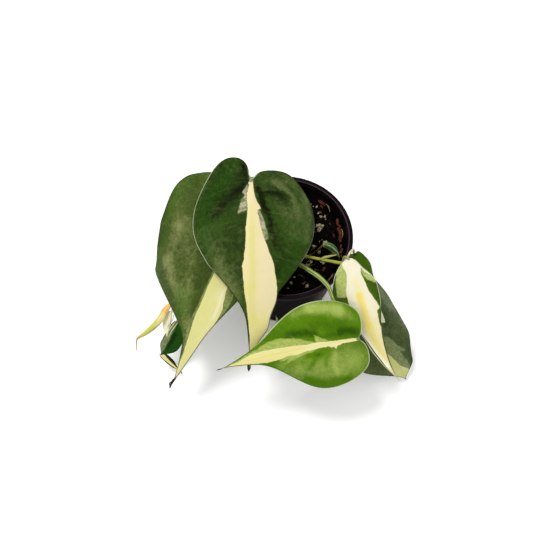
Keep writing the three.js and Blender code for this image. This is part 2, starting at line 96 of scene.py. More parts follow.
LEAVES = {
    "leaf_front": dict(
        base=(-19.5, 15.5, 107), tip=(-21, -72.5, 37), face=(-98, 52), face_tip=(-98, 52),
        arch=(27, 32), bow=(1, 7), width=(41, 39), lobe=(8, 15), widest=(.2, .19),
        lobe_at=(.46, .36), shoulder=((.58, .38), (.7, .06)), fold=((-14, -8), (-19, -8)),
        cup=((-35, -38), (-17, -23)), lobe_lift=6,
        nudges=((0, -.04, .06, -1.3), (0, .54, .04, -1.6), (0, .73, .05, 2.2), (1, .42, .04, 1)),
        stalk=((7, 8, 42), (7.5, 8.5, 60), (8, 12, 76), (3.5, 17.5, 90.5), (-9.5, 19.5, 101.5)),
        stalk_radius=(1.7, 1.1)),
    "leaf_left": dict(
        base=(-27, 12, 93), tip=(-69.2, -78, 20.3), face=(-132, 54), face_tip=(-133, 50),
        arch=(5, 26), bow=(35, 21), width=(22, 56), lobe=(11, 21), widest=(.05, .53),
        lobe_at=(.45, .5), shoulder=((.7, .05), (.74, .17)), fold=((-12, -13), (7, -11)),
        cup=((-23, -24), (-1, -50)), lobe_lift=-17,
        nudges=((1, .02, .1, 1.2), (1, .48, .08, -.8), (1, .6, .06, 1.8)),
        stalk=((-13, 3, 42), (-13.5, 3.5, 60), (-15.5, 6.5, 74), (-21, 11, 86)),
        stalk_radius=(1.6, 1.1)),
    "leaf_low": dict(
        base=(40.2, -62, 64), tip=(-38.6, -75.4, 49.5), face=(-103, 52), face_tip=(-103, 52),
        arch=(12, 12.5), bow=(-6, -8), width=(27.4, 25.3), lobe=(6.4, 4.4), widest=(.23, .25),
        lobe_at=(.47, .47), shoulder=((.73, .11), (.78, .17)), fold=((1, -5.5), (-3, -5)),
        cup=((-13, -26), (-21, -24)), lobe_lift=1,
        stalk=((3, -12, 42), (4.5, -14, 60), (8.6, -17.5, 67), (14.6, -24, 72), (19.5, -28.2, 73),
               (23.8, -32.6, 72), (25, -34.6, 71.3), (26.4, -38.4, 69.6), (28.2, -42.2, 67.7),
               (32.2, -48.5, 63.8), (36.9, -54.8, 60.4), (40.2, -58.5, 60)),
        stalk_radius=(1.4, 1.4, 1.4, 1.4, 1.4, 1.3, 1.2, 1.1)),
    "leaf_cream": dict(
        base=(35, -22.5, 86), tip=(71, -72.5, 16), face=(-87, 47), face_tip=(-83, 49),
        arch=(22, 35), bow=(-7, -11.5), width=(12.2, 16), lobe=(.4, .4), widest=(.23, .19),
        lobe_at=(.05, .05), shoulder=((.54, .32), (.55, .33)), fold=((-9, -14), (-12, -12.5)),
        cup=((-21, -39), (-39, -39)), lobe_lift=0,
        nudges=((0, .07, .05, -1.6), (0, .19, .03, .6), (1, .03, .04, -1), (1, .1, .04, -.7),
                (1, .22, .05, 1.8), (1, .62, .1, 2.2), (1, .8, .1, 5)),
        stalk=((32.9, -22.8, 80), (32.4, -21.4, 82), (33, -20.4, 84.2)),
        stalk_radius=(.8, .7)),
    "leaf_right": dict(
        base=(40, -15, 75.5), tip=(76.5, -67.5, 2.5), face=(-47, 33), face_tip=(-65, 29),
        arch=(10, 11), bow=(-17, -9), width=(18.5, 19), lobe=(1, 1.5), widest=(.45, .43),
        lobe_at=(.36, .4), shoulder=((.88, .52), (.87, .62)), fold=((-31, -8), (-4, -12)),
        cup=((-4, -20), (-11, -10)), lobe_lift=-20,
        nudges=((0, .02, .03, -1), (0, .1, .06, 2.8), (0, .22, .06, -3), (0, .31, .05, -1),
                (0, .68, .12, -3), (0, .8, .06, -2.2), (0, .95, .06, 7)),
        stalk=((33.6, -20.2, 79), (35.2, -18.8, 81.4), (36.6, -16.6, 82.4), (38.6, -14, 80.4)),
        stalk_radius=(.7, .65)),
    "leaf_young": dict(
        base=(22.2, -8, 74), tip=(31.3, -14, 66), face=(-100, 60), face_tip=(-20, 30),
        arch=(24, 44), bow=(60, 66), width=(2.4, 2.6), lobe=(.4, .4), widest=(.6, .35),
        lobe_at=(.2, .4), shoulder=((.75, .4), (.75, .4)), fold=((-24, -30), (-24, -30)),
        cup=((-20, -20), (-20, -20)), lobe_lift=0,
        stalk=((13, -6.5, 44), (14.2, -7.6, 58), (16, -8.4, 62), (19.2, -8.5, 68)),
        stalk_radius=(.7, .6), stalk_seen=(.55, .45)),
    "sheath_papery": dict(
        base=(-68, -36.6, 40.8), tip=(-71.3, -48.6, 28.6), face=(-110, 40), face_tip=(-100, 35),
        arch=(4, 10), bow=(0, 4), width=(1.3, 6.2), lobe=(.3, .3), widest=(.45, .45),
        lobe_at=(.1, .1), shoulder=((.78, .55), (.78, .55)), fold=((-30, -24), (-30, -24)),
        cup=((-30, -20), (-30, -20)), lobe_lift=0,
        stalk=((-66, -34.8, 42.5), (-67, -35.7, 41.7)), stalk_radius=(1.1, .8)),
    "leaf_small": dict(
        base=(-64.2, -42.2, 36.5), tip=(-76.2, -55.6, 15.5), face=(-95, 50), face_tip=(-95, 50),
        arch=(6, 10), bow=(2, 10), width=(7, 5), lobe=(1, .7), widest=(.5, .62),
        lobe_at=(.4, .3), shoulder=((.84, .6), (.84, .6)), fold=((-10, -10), (-14, -14)),
        cup=((-20, -20), (-24, -24)), lobe_lift=0, nudges=((0, .5, .14, 1.3),),
        stalk=((-64.6, -35.6, 41.5), (-63, -37.6, 38.7), (-63, -40, 36.7)),
        stalk_radius=(.9, .8)),
}
LEAVES["leaf_small_end"] = dict(
    LEAVES["leaf_small"], base=(-75.5, -54.8, 16.5), tip=(-63.9, -63.8, 7.5),
    face=(-110, 45), face_tip=(-110, 45), arch=(6, 6), bow=(0, 0), width=(2.6, 3.8),
    lobe=(.2, .2), lobe_at=(.2, .2), widest=(.3, .14), shoulder=((.7, .5), (.7, .5)),
    nudges=((0, .3, .2, -.8), (1, .3, .2, -.4)))

VINES = {
    "vine_right": dict(
        route=((-3, -5, 40), (-2.5, -5.5, 58), (2, -9, 66), (12, -14, 71),
               (22.7, -18.2, 75), (32.7, -22, 78.5)),
        radii=(1.5, 1.5, 1.2, 1, .9, 1.1)),
    "vine_left": dict(
        route=((-18, -10, 40), (-19, -10, 58), (-25, -9.5, 68), (-33, -8, 72.6),
               (-41, -7.5, 72.2), (-50, -12.5, 65), (-58, -20.5, 54), (-63, -29.2, 46),
               (-65.7, -34.6, 42.5)),
        radii=(1.4, 1.4, 1.3, 1.2, 1.2, 1.2, 1.2, 1.2, 1.6)),
}
BUD = dict(route=((20.4, -17.4, 74.2), (23, -17, 76.4), (28.8, -17.2, 80)), radii=(.9, .95, .3))
ROLLED_LEAF = dict(
    route=((-66.6, -33.4, 45.1), (-68.6, -33.6, 43.9), (-71.5, -35.8, 41.5), (-74.2, -39.3, 38),
           (-78.9, -42.6, 32.5), (-84.5, -45.1, 27), (-88.8, -46.4, 23), (-90.9, -47.2, 19.5),
           (-91.8, -48.4, 12.5), (-92.4, -49.4, 6.5)),
    radii=(1.1, 1.4, 1.9, 2.3, 2, 1.5, .9, .5, .35, .3))

# Dried tips, folded edges and a spur, as tubes: the node each belongs to, its slot, routes and radii

TIPS = {
    "leaf_left_dry_tip": ("leaf_left", "leaf_green", [
        (((-66.3, -74.3, 27.6), (-67.8, -76.2, 24.6), (-68.6, -77.3, 22.4), (-69, -78.3, 20.6)),
         (.35, .6, .75, .5, .15)),
        (((-67.4, -75.4, 25.8), (-68.6, -75.8, 25), (-69.2, -77, 23.6)), (.3, .3, .1))]),
    "leaf_front_dry_tip": ("leaf_front", "leaf_green", [
        (((-20.9, -69, 42), (-21.1, -71, 39.6), (-21.3, -72.6, 37.2)), (.6, 1.1, .9, .2))]),
    "leaf_low_dry_tip": ("leaf_low", "leaf_light", [
        (((-36.2, -75, 50.1), (-38, -75.4, 49.7), (-39.8, -75.8, 49.3)), (.3, .35, .1))]),
    "leaf_small_end_wisp": ("leaf_small", "leaf_green", [
        (((-65.4, -62.6, 8.8), (-64, -63.6, 7.6), (-63.2, -65, 6.4)), (.5, .4, .15))]),
    "leaf_low_spur": ("leaf_low", "leaf_light", [
        (((-4.2, -49.6, 56.6), (-4.9, -47.6, 57.6), (-5.4, -46, 58.3)), (.8, .6, .1))]),
    # The small leaf's folded edges are pale tubes: painted highlights along the folds.
    "leaf_small_folds": ("leaf_small", "leaf_green", [
        (((-66.7, -37.9, 40), (-67.3, -40.8, 38), (-69.9, -43.8, 36), (-70.1, -45.2, 35)), (.2, .3, .15)),
        (((-64.7, -40.5, 37.4), (-68.3, -44.8, 35.4), (-70.8, -48.6, 33.4)), (.25, .4, .15)),
        (((-63.7, -41.7, 37.4), (-67.6, -46.7, 35.4), (-70.2, -50.1, 32.4)), (.25, .4, .15))]),
}
PALE_TIPS = ("leaf_low_spur", "leaf_small_folds")

# Markings, drawn on each leaf pressed flat: [share of the midrib's length, millimetres across].
# Across is above zero on the leaf's left half. They are painted in this order: accent, pale, stripe,
# seam.

MARKS = {
    "leaf_front": dict(
        stripe=[[(-.02, -.5), (.04, -1.5), (.06, -2.4), (.13, -1.4), (.22, -2.4), (.29, -2.4),
                 (.38, -4), (.41, -4.8), (.48, -4.1), (.54, -3.5), (.6, -2.3), (.68, -1.3),
                 (.77, -.6), (.86, -.5), (1.05, -.3), (1.05, 6), (.8, 14), (.62, 15.5),
                 (.56, 15), (.51, 15.1), (.46, 14.4), (.4, 13.5), (.35, 11.2), (.29, 8.6),
                 (.26, 7.2), (.2, 5.6), (.15, 4.3), (.142, 3.8), (.13, 6.2), (.09, 3.4), (.04, 1.6),
                 (-.02, 1.1)]],
        # The front leaf's first accent is painted light: a fuller green where its right lobe is lit.
        accent=[[(-.12, -8), (-.06, -20), (.04, -30), (.14, -37), (.28, -35), (.4, -25), (.3, -24),
                 (.14, -28), (.04, -19), (-.02, -12)],
                [(.02, 26), (.14, 36), (.3, 34), (.44, 22), (.56, 13), (.5, 12), (.36, 20), (.24, 30)]],
        pale=[[(.01, -1.8), (.05, -5.2), (.065, -3.2), (.09, -5.9), (.155, -7.6), (.14, -1.5)],
              [(.12, 5), (.15, 6.2), (.23, 9.7), (.28, 10.2), (.28, 6.5), (.2, 4), (.14, 3)]]),
    "leaf_left": dict(
        accent=[[(.5, -30), (.6, -32), (.68, -14), (.78, -9), (.66, -14), (.5, -20)],
                [(-.2, -20), (-.1, -40), (.1, -50), (.4, -54), (.5, -50), (.2, -48), (-.02, -40)]],
        stripe=[[(-.02, .8), (-.02, -.8), (.12, -3.5), (.25, -7), (.35, -9.6), (.43, -10.6),
                 (.49, -10.4), (.56, -10.5), (.62, -9.7), (.69, -7.6), (.78, -4.9), (.9, -2.2),
                 (1.05, 0), (1.05, 4), (.62, 3), (.53, 3.4), (.49, 3.6), (.47, 2.5), (.42, 1.2),
                 (.3, 1), (.1, .8)]],
        pale=[[(.2, -6), (.35, -10.7), (.43, -11.8), (.5, -11.8), (.57, -12.3), (.63, -12),
               (.68, -10.8), (.73, -7.9), (.78, -5.8), (.9, -3), (1.05, 0), (.6, 3),
               (.54, 4.3), (.5, 5.6), (.47, 6.4), (.41, 6), (.34, 4.4), (.28, 2)]]),
    "leaf_low": dict(
        stripe=[[(-.02, -.7), (.08, -1), (.19, -1.6), (.26, -2.3), (.35, -2.1), (.46, -3.3),
                 (.53, -3.3), (.64, -3.9), (.74, -3.4), (.85, -1), (1.05, 0), (.94, .1),
                 (.82, 1.2), (.74, 2.2), (.63, 3.6), (.55, 3.1), (.48, 2.2), (.42, 2.7),
                 (.36, 1.6), (.27, 1.3), (.2, 1.2), (.185, 2.4), (.17, 1.6), (.152, 3.9), (.143, 1.8),
                 (.12, 1.9), (.11, 1), (-.02, .9)]],
        pale=[[(.27, -2), (.33, -3.7), (.39, -6.2), (.45, -7.5), (.52, -8.7), (.59, -8.4),
               (.65, -7.1), (.69, -5.6), (.76, -4.4), (.88, -1), (.8, 0), (.3, -1)],
              [(.28, -2), (.29, -6.9), (.26, -5.2), (.18, -1.4)],
              [(.28, 1), (.32, 2.7), (.41, 4.2), (.53, 6.6), (.49, 4.4), (.56, 4), (.47, 1)]]),
    "leaf_cream": dict(
        stripe=[[(-.05, -6), (.01, -4.6), (.045, -4.2), (.07, -3.4), (.12, -4.6), (.18, -6.9),
                 (.22, -7.8), (.27, -7.9), (.3, -12), (.36, -30), (1.1, -30), (1.1, 30), (.5, 30),
                 (.485, 6), (.45, 4.9), (.42, 5.3), (.385, 6), (.355, 6.5), (.35, 9), (.33, 8.6),
                 (.27, 7), (.22, 5.6), (.17, 5.4), (.14, 5), (.1, 4.6),
                 (.07, 5.2), (.1, 6.6), (.14, 9.7), (.17, 12.2), (.2, 14), (.1, 20), (-.1, 12)]],
        seam=[[(.46, -8.2), (.54, -6), (.62, -4.7), (.69, -3.3), (.78, -2.3), (.87, -1.3), (.95, -.4),
               (.95, 0), (.87, -.6), (.78, -1.4), (.69, -2.4), (.62, -3.7), (.54, -5.1), (.46, -7.2)],
              [(.5, 30), (.5, 4.3), (.6, 2.5), (.68, 1.4), (.75, .7), (.84, .4), (.95, 0), (.95, 30)]],
        pale=[[(-.1, -2), (.07, -2), (.12, -3.5), (.215, -6.5), (.225, -9), (.215, -14.4), (.13, -12.3),
               (.07, -10), (-.02, -9)],
              [(.06, 4), (.11, 5), (.15, 6.5), (.165, 8.6), (.19, 10.4), (.2, 13.5), (.15, 12),
               (.1, 7)]]),
    "leaf_right": dict(
        # This accent is painted light: a brighter green where the lobe faces up.
        accent=[[(-.1, -9), (.02, -5), (.05, 1.4), (.13, 8.1), (.22, 13.2), (.24, 30), (-.3, 30)]],
        stripe=[[(.4, 6), (.43, 5.8), (.47, 5.6), (.505, 4.6), (.49, 3.4), (.48, 1.6), (.39, 4)],
                [(.7, -3), (.77, -1), (.86, 1), (.92, 4.5), (1.1, 9), (1.1, -6), (.9, -5), (.8, -5)]],
        pale=[[(.57, -.8), (.6, 2.4), (.66, 4.6), (.71, 5.7), (.81, 9.8), (.76, 5.4), (.81, 5.3),
               (.87, 6.7), (.95, 6.4), (.93, -2), (.7, -3)]]),
    "leaf_young": dict(
        stripe=[[(.1, 0), (.5, -.3), (.95, 0), (.95, .2), (.5, .35), (.1, .2)]]),
    "leaf_small": dict(
        pale=[[(-.1, -.3), (1.1, -.3), (1.1, -10), (-.1, -10)]]),
    "leaf_small_end": dict(
        stripe=[[(-.1, -2.4), (.2, -2.3), (.6, -1.1), (.95, -.3), (.95, .2), (.6, .5), (.2, .7),
                 (-.1, 1.2)]]),
}

# Low relief of a blade: height and reach in millimetres, then a line of flat places

RELIEF = {
    "leaf_front": [
        (1.3, 7, [(.01, 12), (.05, 20), (.13, 28)]), (-1.1, 4, [(.03, 3.5), (.12, 8), (.24, 13)]),
        (-1, 4.5, [(.02, -7), (.08, -15), (.11, -22)]), (.9, 8, [(.2, -19), (.26, -12)]),
        (-.5, 5, [(.42, 20), (.36, 24)]), (.5, 6, [(.3, 27)])],
    "leaf_left": [
        (1, 6, [(-.1, -34), (.12, -40), (.41, -44)]), (-.8, 6, [(-.1, -26), (.2, -31), (.36, -27)]),
        (-.5, 5, [(.5, -16), (.62, -12)])],
    "leaf_low": [
        (.9, 5, [(.23, -20), (.08, -16)]), (-.7, 5, [(.44, -13), (.28, -12)]),
        (-.6, 3.5, [(.3, 7), (.2, 11), (.12, 16)]), (.5, 5, [(.42, 10), (.12, 8)])],
    "leaf_cream": [(-.4, 4, [(.2, -3), (.4, -5)]), (.5, 5, [(.3, 3), (.5, 2)])],
    "leaf_right": [(.5, 6, [(.35, 8), (.5, 9)]), (-.5, 6, [(.6, -6), (.8, -6)])],
}

# Tones on a blade, partly the leaf's own and partly painted: shade in its hollows, sheen on its
# ridges, and on the cream leaf light on the cream's shaded side. From -1 for the deep green to 1 for
# the sheen, reach, then a line of flat places

TONED = {
    "leaf_front": [
        (-.9, 1.8, [(.03, 4.5), (.08, 6.5), (.13, 8.5)]), (-.45, 2.2, [(.15, 10), (.22, 12), (.3, 13.5)]),
        (-.6, 2.2, [(.05, 9.5), (.04, 14), (.07, 20)]), (.3, 3, [(.1, 16), (.15, 19)]),
        (-.3, 4, [(.16, 13), (.31, 19)]),
        (.6, 3, [(-.01, 13), (.01, 18), (.06, 25), (.16, 30)]), (.3, 7, [(.15, 24), (.25, 27)]),
        (.55, 4, [(.03, 33), (.15, 35.5), (.28, 34)]), (.4, 3, [(-.03, 20), (-.02, 26)]),
        (-.5, 6, [(.39, 22), (.45, 15.5)]),
        (-.5, 4, [(-.08, -5), (-.03, -3.5), (.03, -6)]), (-.45, 3.6, [(.05, -9), (.09, -15), (.15, -22)]),
        (-.4, 9, [(-.06, -18), (.12, -30)]), (.15, 6, [(.14, -11), (.2, -14), (.28, -12)]),
        (.15, 1.5, [(.2, -5.5), (.32, -6.5), (.42, -7)]), (-.25, 5, [(.16, -12), (.22, -14)]),
        (.45, 7, [(.25, -31), (.33, -25), (.42, -17), (.5, -10)]),
        (.35, 3, [(.42, -20), (.5, -14), (.58, -7)])],
    "leaf_left": [
        (.2, 5, [(-.14, -34), (-.04, -37), (.12, -39)]), (.35, 5, [(.12, -39), (.26, -42), (.41, -43)]),
        (.55, 6, [(.43, -44), (.5, -38), (.55, -29)]), (.4, 5, [(.45, -24), (.57, -20), (.64, -14)]),
        (-.8, 4.5, [(-.1, -44), (-.02, -48), (.12, -50.5), (.33, -53)]), (-.3, 2, [(.33, -53), (.46, -52)]),
        (.3, 7, [(.09, -33), (.22, -33), (.35, -28)]), (-.25, 5, [(.05, -20), (.3, -16)]),
        (-.3, 3, [(.45, -14.5), (.58, -12)]), (.3, 4, [(.66, -12), (.75, -9)])],
    "leaf_low": [
        (.75, 4.2, [(.26, -21.5), (.18, -20.5), (.1, -18.5)]), (.3, 4, [(.08, -17), (.02, -13)]),
        (.4, 3, [(.4, -20), (.3, -22)]), (-.6, 3, [(.45, -9.5), (.37, -9), (.29, -7.5)]),
        (-.25, 4, [(.3, -14), (.2, -12)]), (-.7, 3, [(.01, -4.5), (.05, -6), (.09, -6)]),
        (-.4, 2, [(.12, -5), (.24, -4.5)]), (-.35, 3, [(.1, 24), (.25, 25), (.4, 19)]),
        (-.5, 1.6, [(.28, 5), (.35, 4)]),
        (.42, 12, [(.05, 14), (.25, 17), (.42, 12)]), (-.35, 1.8, [(.24, 3), (.3, 7), (.36, 12)]),
        (-.2, 1.4, [(.2, 3), (.23, 8), (.24, 12)]),
        (-.4, 3, [(.5, 7), (.4, 8)]), (.3, 1.5, [(.17, 6), (.18, 12), (.17, 18)]),
        (.35, 4, [(.42, 8), (.52, 6)]), (.15, 7, [(.12, 4), (.3, 10)]), (.15, 6, [(.02, 10), (.1, 14)])],
    "leaf_cream": [(-.3, 3, [(.2, 11), (.28, 10)]), (.2, 3, [(.15, -9)]),
                   (1.3, 5, [(.3, -11), (.4, -11), (.5, -9.5), (.6, -8), (.75, -5)])],
    "leaf_right": [
        (-.4, 5, [(.42, 7), (.6, 4)]), (.5, 5, [(.25, 11), (.33, 12), (.45, 14)]),
        (.3, 4, [(.5, 17), (.66, 18)]), (-.3, 5, [(.75, 13), (.9, 10)]), (-.3, 5, [(.62, -15), (.8, -13)])],
    "leaf_small": [(-.6, 2, [(.3, 1), (.7, .6)])],
}

# Where a cream stripe turns yellow, in the same form

WARMED = {
    "leaf_front": [(.8, 8, [(.7, 4), (.82, 2), (1, 0)]),
                   (.5, 1.6, [(.12, .8), (.26, 1.2), (.5, 1.4), (.7, .8)]),
                   (.35, 7, [(.26, 1), (.5, 0)]), (.5, 3, [(.5, -2), (.68, -.5)]),
                   (-.5, 4, [(.3, 7), (.42, 9), (.52, 9)])],
    "leaf_left": [(1, 12, [(.3, -7), (.6, -6), (1, 0)]), (-1.3, .5, [(.42, -.4), (.55, 1.2)])],
    "leaf_low": [(.8, 4, [(.4, 0), (.9, 0)]), (.3, 3, [(0, 0), (.3, 0)])],
    "leaf_cream": [(.4, 2.5, [(.14, .3), (.22, -.2)]),
                   (1, 2.2, [(.23, -.3), (.31, -.6), (.41, -1.4)]),
                   (.5, 2.6, [(.44, -1.5), (.6, -1.4), (.7, -1)]), (.4, 9, [(.45, 1), (1, 0)])],
    "leaf_right": [(1.2, 12, [(.75, -2), (1, 0)])],
    "leaf_small_end": [(.8, 2, [(.2, 0), (.8, 0)])],
}

# Where a margin is pale, in the same form; elsewhere it is dark

EDGED_ALL_ROUND = [(1, 999, [(0, 0), (1, 0)])]
EDGED = {
    "leaf_front": [(1.5, 3, [(-.03, 0), (.01, 0)]),
                   (1, 7, [(-.04, -27), (.1, -38), (.2, -38), (.3, -34), (.38, -27)]),
                   (.5, 6, [(.22, 38), (.36, 32)])],
    "leaf_left": [],
    "leaf_low": [(1, 8, [(.62, -14), (.45, -22), (.2, -28), (.05, -30), (-.02, -28),
                        (-.07, -20), (-.07, -9)]),
                 (1, 6, [(-.09, 0), (-.12, 6), (-.09, 14), (-.02, 24), (.1, 26)])],
    "leaf_cream": [(1, 5, [(0, -4), (.03, -8), (.1, -13)]), (1, 4, [(0, 4), (.2, 14), (.32, 13)]),
                   (1, 2, [(.4, -10), (.5, -7), (.6, -5), (.7, -4), (.8, -3), (.95, -1)])],
    "leaf_right": [(.7, 6, [(.55, -16), (.75, -18)]), (.4, 6, [(.3, 16), (.6, 20)])],
    "leaf_small": [(1, 5, [(.2, -6), (.9, -5)])],
    "leaf_small_end": [],
}

# Fine meshes: rows and columns of a blade, its real thickness, and how the rows of a margin are shared
# out to its four arcs. A stalk runs STALK_REACH under its blade and is STALK_END thick there.

BLADE_FINE = dict(rows=150, columns=26, thickness=.42, keel=.75, veins=8, vein_depth=.16)
SMALL_FINE = dict(rows=60, columns=12, thickness=.32, keel=.25, veins=5, vein_depth=.04)
MARGIN_SHARES = (.16, .26, .33, .25)
STALK_REACH = 3
STALK_END = .3
STALK_RIBS = 6


def unit(v):
    return v / np.linalg.norm(v, axis=-1, keepdims=True)


def direction(angles):
    a, e = np.radians(angles)
    return np.array([math.cos(a) * math.cos(e), math.sin(a) * math.cos(e), math.sin(e)])


def bezier(points, t):
    p = [np.asarray(point, float) for point in points]
    t = np.asarray(t, float)[..., None]
    s = 1 - t
    return p[0] * s ** 3 + 3 * p[1] * s * s * t + 3 * p[2] * s * t * t + p[3] * t ** 3


def bezier_course(points, t):
    p = [np.asarray(point, float) for point in points]
    t = np.asarray(t, float)[..., None]
    s = 1 - t
    return 3 * ((p[1] - p[0]) * s * s + 2 * (p[2] - p[1]) * s * t + (p[3] - p[2]) * t * t)


def smooth_step(low, high, x):
    t = np.clip((x - low) / (high - low), 0, 1)
    return t * t * (3 - 2 * t)


# A smooth repeatable roughness of space, for crumb, bark and blades

def waves(points, scale, seed, count=7):
    rng = np.random.default_rng(seed)
    total = np.zeros(points.shape[:-1])
    for _ in range(count):
        way = unit(rng.normal(size=3)) * rng.uniform(.6, 1.6) * 2 * math.pi / scale
        total += np.sin(points @ way + rng.uniform(0, 2 * math.pi))
    return total / math.sqrt(count)


# The shape of a leaf

class Blade:
    """A leaf blade's middle surface, by place along the midrib and across it."""

    def __init__(self, leaf):
        self.leaf = leaf
        base, tip = np.array(leaf["base"], float), np.array(leaf["tip"], float)
        span = np.linalg.norm(tip - base)
        chord = (tip - base) / span
        self.face, self.face_tip = direction(leaf["face"]), direction(leaf["face_tip"])
        rise = unit(self.face - chord * (self.face @ chord))
        side = np.cross(rise, chord)
        arch, bow = np.tan(np.radians(leaf["arch"])), np.tan(np.radians(leaf["bow"]))
        start = unit(chord + rise * arch[0] + side * bow[0])
        end = unit(chord - rise * arch[1] - side * bow[1])
        self.points = [base, base + start * span / 3, tip - end * span / 3, tip]
        self.steps = np.linspace(0, 1, 201)
        places = bezier(self.points, self.steps)
        self.lengths = np.r_[0, np.cumsum(np.linalg.norm(np.diff(places, axis=0), axis=1))]
        self.length = self.lengths[-1]

    def frame(self, along):
        leaf = self.leaf
        share = np.clip(along / self.length, 0, 1)
        t = np.interp(share * self.length, self.lengths, self.steps)
        place = bezier(self.points, t)
        course = unit(bezier_course(self.points, t))
        up = self.face * (1 - share[..., None]) + self.face_tip * share[..., None]
        up = unit(up - course * np.sum(up * course, -1, keepdims=True))
        behind = np.minimum(along, 0)[..., None]
        lift = math.tan(math.radians(leaf["lobe_lift"])) / max(leaf["lobe"])
        place = place + course * behind + up * lift * behind * behind
        return place, course, up, np.cross(up, course)

    def margin(self, side, rows):
        leaf = self.leaf
        width, lobe = leaf["width"][side], leaf["lobe"][side]
        lobe_across = leaf["lobe_at"][side] * width
        widest = leaf["widest"][side] * self.length
        shoulder = (leaf["shoulder"][side][0] * self.length, leaf["shoulder"][side][1] * width)
        rest = self.length - shoulder[0]
        slope = -1.5 * shoulder[1] / rest
        fall = shoulder[0] - widest
        arcs = [
            [(0, 0), (-.6 * lobe, .02 * width),
             (-lobe, max(.3 * lobe_across, lobe_across - .33 * width)), (-lobe, lobe_across)],
            [(-lobe, lobe_across), (-lobe, lobe_across + .3 * width),
             (widest - .5 * (widest + lobe), width), (widest, width)],
            [(widest, width), (widest + .42 * fall, width),
             (shoulder[0] - .38 * fall, shoulder[1] - slope * .38 * fall), shoulder],
            [shoulder, (shoulder[0] + .35 * rest, shoulder[1] + slope * .35 * rest),
             (self.length - .3 * rest, 0), (self.length, 0)],
        ]
        parts = [np.zeros((1, 2))]
        for arc, share in zip(arcs, MARGIN_SHARES):
            steps = max(2, round(rows * share))
            parts.append(bezier(arc, np.linspace(0, 1, steps + 1)[1:]))
        line = np.vstack(parts)
        for half, at, reach, amount in leaf.get("nudges", ()):
            if half == side:
                near = np.exp(-((line[:, 0] / self.length - at) / reach) ** 2)
                line[:, 1] += amount * near * smooth_step(0, 8, line[:, 1])
        return line

    def surface(self, side, along, across):
        leaf = self.leaf
        width = leaf["width"][side]
        share = np.clip(along / self.length, 0, 1)
        fold = np.radians(leaf["fold"][side][0] * (1 - share) + leaf["fold"][side][1] * share)
        cup = np.radians(leaf["cup"][side][0] * (1 - share) + leaf["cup"][side][1] * share)
        turn = fold + cup * across / width
        outward = width / cup * (np.sin(turn) - np.sin(fold))
        upward = -width / cup * (np.cos(turn) - np.cos(fold))
        place, _, up, left = self.frame(along)
        sign = 1 if side == 0 else -1
        return place + left * (sign * outward)[..., None] + up * upward[..., None]


def distance_to_line(points, line):
    """Distance from each point to a line of points, both flat."""
    best = np.full(len(points), 1e9)
    for a, b in zip(line[:-1], line[1:]):
        step = b - a
        t = np.clip(((points - a) @ step) / max(step @ step, 1e-12), 0, 1)
        best = np.minimum(best, np.linalg.norm(points - a - t[:, None] * step, axis=1))
    return best


def inside(points, polygon):
    """Whether each point is in a polygon."""
    x, y = points[:, 0], points[:, 1]
    found = np.zeros(len(points), bool)
    for (x0, y0), (x1, y1) in zip(polygon, np.roll(polygon, -1, 0)):
        crosses = (y0 > y) != (y1 > y)
        reach = x0 + (y - y0) * (x1 - x0) / (y1 - y0 if y1 != y0 else 1e-9)
        found ^= crosses & (x < reach)
    return found


def mark_field(points, polygons, length):
    """How deep each point lies in the marked places, in millimetres, below zero outside them."""
    best = np.full(len(points), -9.0)
    for shares in polygons:
        polygon = np.array(shares, float) * (length, 1)
        near = distance_to_line(points, np.vstack([polygon, polygon[:1]]))
        best = np.maximum(best, np.where(inside(points, polygon), near, -near))
    return best


def eased(place, along, away):
    """Rows evened where a bowed blade passes its base, which would otherwise kink the margin there."""
    weight = .5 * np.exp(-(along / 7) ** 2) * smooth_step(6, 18, away)
    for _ in range(70):
        middle = (place[:-2] + place[2:]) / 2
        place[1:-1] += weight[1:-1, :, None] * (middle - place[1:-1])
    return place


def line_field(flat, length, table):
    """The sum of soft lines, each given by its amount, its reach and its flat places."""
    total = np.zeros(len(flat))
    for amount, reach, places in table:
        line = np.array(places, float) * (length, 1)
        if len(line) == 1:
            line = np.vstack([line, line + (.01, 0)])
        total += amount * np.exp(-(distance_to_line(flat, line) / reach) ** 2)
    return total


def half_grid(blade, side, rows, spread):
    """Half a blade as a grid from the midrib to the margin."""
    margin = blade.margin(side, rows)
    row = np.arange(len(margin)) / (len(margin) - 1)
    vein = blade.length * np.clip((row - .3) / .7, 0, 1) ** 1.25
    along = vein[:, None] + (margin[:, 0] - vein)[:, None] * spread
    across = margin[:, 1][:, None] * spread
    place = eased(blade.surface(side, along, across), along, spread * blade.leaf["width"][side])
    return margin, row, vein, along, across, place


def point_key(side, i, j, last, at_base):
    """What names a grid point, so that the two halves share the base, the midrib and the tip."""
    if i == 0 or (j == 0 and at_base):
        return "base"
    if i == last:
        return "tip"
    return ("midrib", i) if j == 0 else (side, i, j)


def grid_triangles(index, facing):
    """The triangles of a grid of point numbers, without those that have shrunk to a line."""
    found = []
    for i in range(index.shape[0] - 1):
        for j in range(index.shape[1] - 1):
            a, b, c, d = index[i, j], index[i, j + 1], index[i + 1, j + 1], index[i + 1, j]
            for triangle in ((a, b, c), (a, c, d)):
                if len(set(triangle)) == 3:
                    found.append(triangle if facing else triangle[::-1])
    return found


